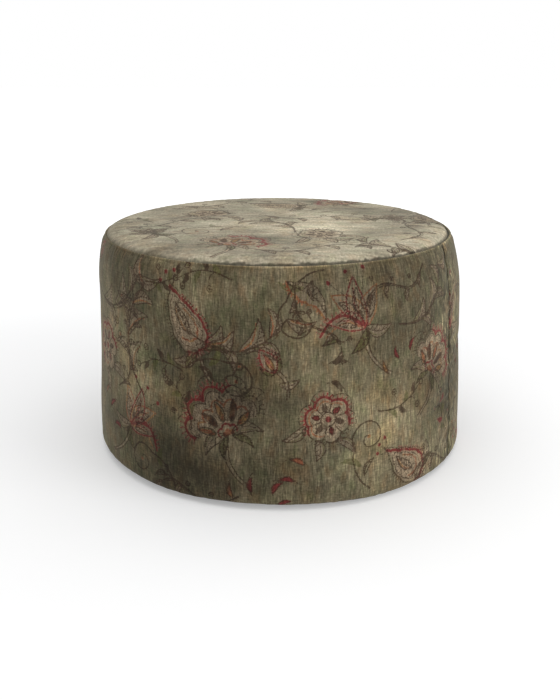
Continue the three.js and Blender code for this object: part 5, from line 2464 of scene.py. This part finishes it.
def pick_face(model: Piece, side: int) -> None:
    """Enters edit mode with only the highest or lowest level face selected.

    Args:
        model: The piece.
        side: 1 for the highest face that looks up, and -1 for the lowest one that looks down.
    """
    deselect()
    bpy.context.view_layer.objects.active = model
    model.select_set(True)
    bpy.ops.object.mode_set(mode="EDIT")
    bpy.ops.mesh.select_mode(type="FACE")
    bpy.ops.mesh.select_all(action="DESELECT")
    bm = bmesh.from_edit_mesh(model.data)
    faces = [f for f in bm.faces if f.normal.z * side > 0.99]
    middles = [(f.calc_center_median(), f) for f in faces]
    centre = min(middles, key=lambda m: (m[0].xy.length > 1e-4, -m[0].z * side))[1]
    for face in [f for f in bm.faces if f.select]:
        face.select = False
    centre.select = True
    bm.faces.active = centre
    bmesh.update_edit_mesh(model.data)


def inset_face(model: Piece, side: int, width: float) -> None:
    """Insets the top or bottom face."""
    pick_face(model, side)
    bpy.ops.mesh.inset(thickness=width, depth=0)
    bpy.ops.object.mode_set(mode="OBJECT")


def push_face(model: Piece, side: int, distance: float) -> None:
    """Extrudes the middle top or bottom face along Z by a distance, with new walls."""
    pick_face(model, side)
    bpy.ops.mesh.extrude_region_move(TRANSFORM_OT_translate={"value": (0, 0, distance)})
    bpy.ops.object.mode_set(mode="OBJECT")


def taper_face(model: Piece, side: int, share: float) -> None:
    """Scales the top or bottom face about its middle."""
    pick_face(model, side)
    bpy.ops.transform.resize(value=(share, share, 1))
    bpy.ops.object.mode_set(mode="OBJECT")


def soften(model: Piece, width: float, segments: int, angle: float) -> None:
    """Rounds a model's sharp edges with an applied bevel and shades it smooth."""
    deselect()
    bpy.context.view_layer.objects.active = model
    model.select_set(True)
    bevel = model.modifiers.new("round", "BEVEL")
    bevel.width, bevel.segments = width, segments
    bevel.limit_method, bevel.angle_limit = "ANGLE", math.radians(angle)
    bpy.ops.object.modifier_apply(modifier=bevel.name)
    bpy.ops.object.shade_smooth_by_angle(angle=math.radians(40))


@dataclass
class Carcass:
    """The plywood rings, posts, board and screws, whose shapes come from the frame."""

    nodes: dict[str, Piece]

    def build(self) -> None:
        """Dresses each node of the frame that stays."""
        steel = Metal("screw_steel", srgb(196, 184, 150), 0.32).material()
        ply = srgb(150, 112, 70), srgb(214, 180, 130)
        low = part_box("base_ring")[0].z
        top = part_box("top_ring")[0].z
        timber = Wood("timber", srgb(184, 146, 96), srgb(228, 202, 156), Grain.STANDING)
        board = Fibre("hardboard", srgb(84, 58, 38), srgb(128, 94, 64), (0.004, 0.004), 0.6, 0.0, 0.0001)
        finishes = {
            "base_ring": (Wood("base_ply", *ply, Grain.LYING, 2 * MM, low).material(), "plywood"),
            "top_ring": (Wood("top_ply", *ply, Grain.LYING, 2 * MM, top).material(), "plywood"),
            "post_": (timber.material(), "timber"),
            "side_board": (board.material(), "hardboard"),
            "top_screw_": (steel, "screw_steel"),
            "base_screw_": (steel, "screw_steel"),
        }
        for name, node in self.nodes.items():
            for start, (material, slot) in finishes.items():
                if name.startswith(start):
                    node.data.materials.clear()
                    node.data.materials.append(material)


# The studio


@dataclass
class Studio:
    """The floor, the lamps, the pale surroundings and the camera."""

    focal_pixels: float = 913.0
    image_height: float = 700.0
    sensor: float = 36.0
    distance: float = 1.496
    eye_height: float = 0.638
    pitch: float = 10.4
    shift: float = -130.0
    sky: float = 0.42
    floor_size: float = 30.0
    glow: tuple[Point, Point] = ((0.3, 2.2), (0.3, 0.75))

    def build(self) -> None:
        """Sets up the studio."""
        scene = bpy.context.scene
        scene.view_settings.view_transform = "Standard"
        self.camera()
        self.surroundings()
        self.floor()
        self.lamp("overhead", (0.0, -0.1, 2.3), 0.3, 2.4, 26)
        self.lamp("front", (2.8, -1.5, 1.0), 0.2, 1.8, 38)
        self.lamp("side", (-0.9, -2.9, 1.2), 0.2, 1.6, 3)

    def camera(self) -> None:
        """Places the camera at the photograph's viewing angle."""
        data = bpy.data.cameras.new("camera")
        data.sensor_width = self.sensor
        data.lens = self.focal_pixels * self.sensor / self.image_height
        data.shift_y = self.shift / self.image_height
        data.clip_start, data.clip_end = 0.05, 50
        camera = placed("camera", data)
        camera.location = (0, -self.distance, self.eye_height)
        camera.rotation_euler = (math.radians(90 - self.pitch), 0, 0)
        bpy.context.scene.camera = camera

    def surroundings(self) -> None:
        """Makes the world: a plain soft light that the camera and gloss see as white."""
        world = bpy.data.worlds.new("surroundings")
        bpy.context.scene.world = world
        nodes = Nodes(world, "OutputWorld")
        light = nodes.add("Background", {"Color": (0.98, 0.99, 1.0, 1), "Strength": self.sky})
        white = nodes.add("Background", {"Color": (1.0, 1.0, 1.0, 1), "Strength": 1.0})
        nodes.switch(light.outputs[0], white.outputs[0])

    def floor(self) -> None:
        """Makes the pale floor, which keeps the object's shadow."""
        deselect()
        bpy.ops.mesh.primitive_plane_add(size=self.floor_size, location=(0, 0, 0))
        floor = bpy.context.object
        floor.name = "floor"
        material = bpy.data.materials.new("floor")
        nodes = Nodes(material, "OutputMaterial")
        look = {"Base Color": (0.8, 0.8, 0.8, 1), "Roughness": 0.9, "Specular IOR Level": 0.0}
        shader = nodes.add("BsdfPrincipled", look).outputs[0]
        place = nodes.add("TexCoord", {}).outputs["Object"]
        reach = nodes.add("VectorMath", {0: place}, operation="LENGTH").outputs["Value"]
        ends = zip(("From Min", "From Max", "To Min", "To Max"), (*self.glow[0], *self.glow[1]))
        fade = {"Value": reach, **dict(ends)}
        strength = nodes.add("MapRange", fade, interpolation_type="SMOOTHSTEP").outputs[0]
        glow = nodes.add("Emission", {"Strength": strength}).outputs[0]
        nodes.switch(shader, nodes.add("AddShader", {0: shader, 1: glow}).outputs[0])
        floor.data.materials.append(material)

    def lamp(self, name: str, place: Sequence[float], target: float, size: float, power: float) -> None:
        """Adds a soft square lamp.

        Args:
            name: Its name.
            place: Where it stands.
            target: How high up the object it faces.
            size: The length of its sides.
            power: Its power in watts.
        """
        data = bpy.data.lights.new(name, "AREA")
        data.shape, data.size, data.energy = "SQUARE", size, power
        lamp = placed(name, data)
        lamp.location = place
        facing = Vector((0, 0, target)) - Vector(place)
        lamp.rotation_euler = facing.to_track_quat("-Z", "Y").to_euler()


def main() -> None:
    """Builds the whole scene."""
    logging.basicConfig(level=logging.INFO, format="%(name)s: %(message)s")
    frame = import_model()
    Studio().build()
    for part in (Carcass(frame["nodes"]), Platform(), Padding(), Cover(), Underside()):
        log.info("building %s", type(part).__name__)
        part.build()


if __name__ == "__main__":
    main()
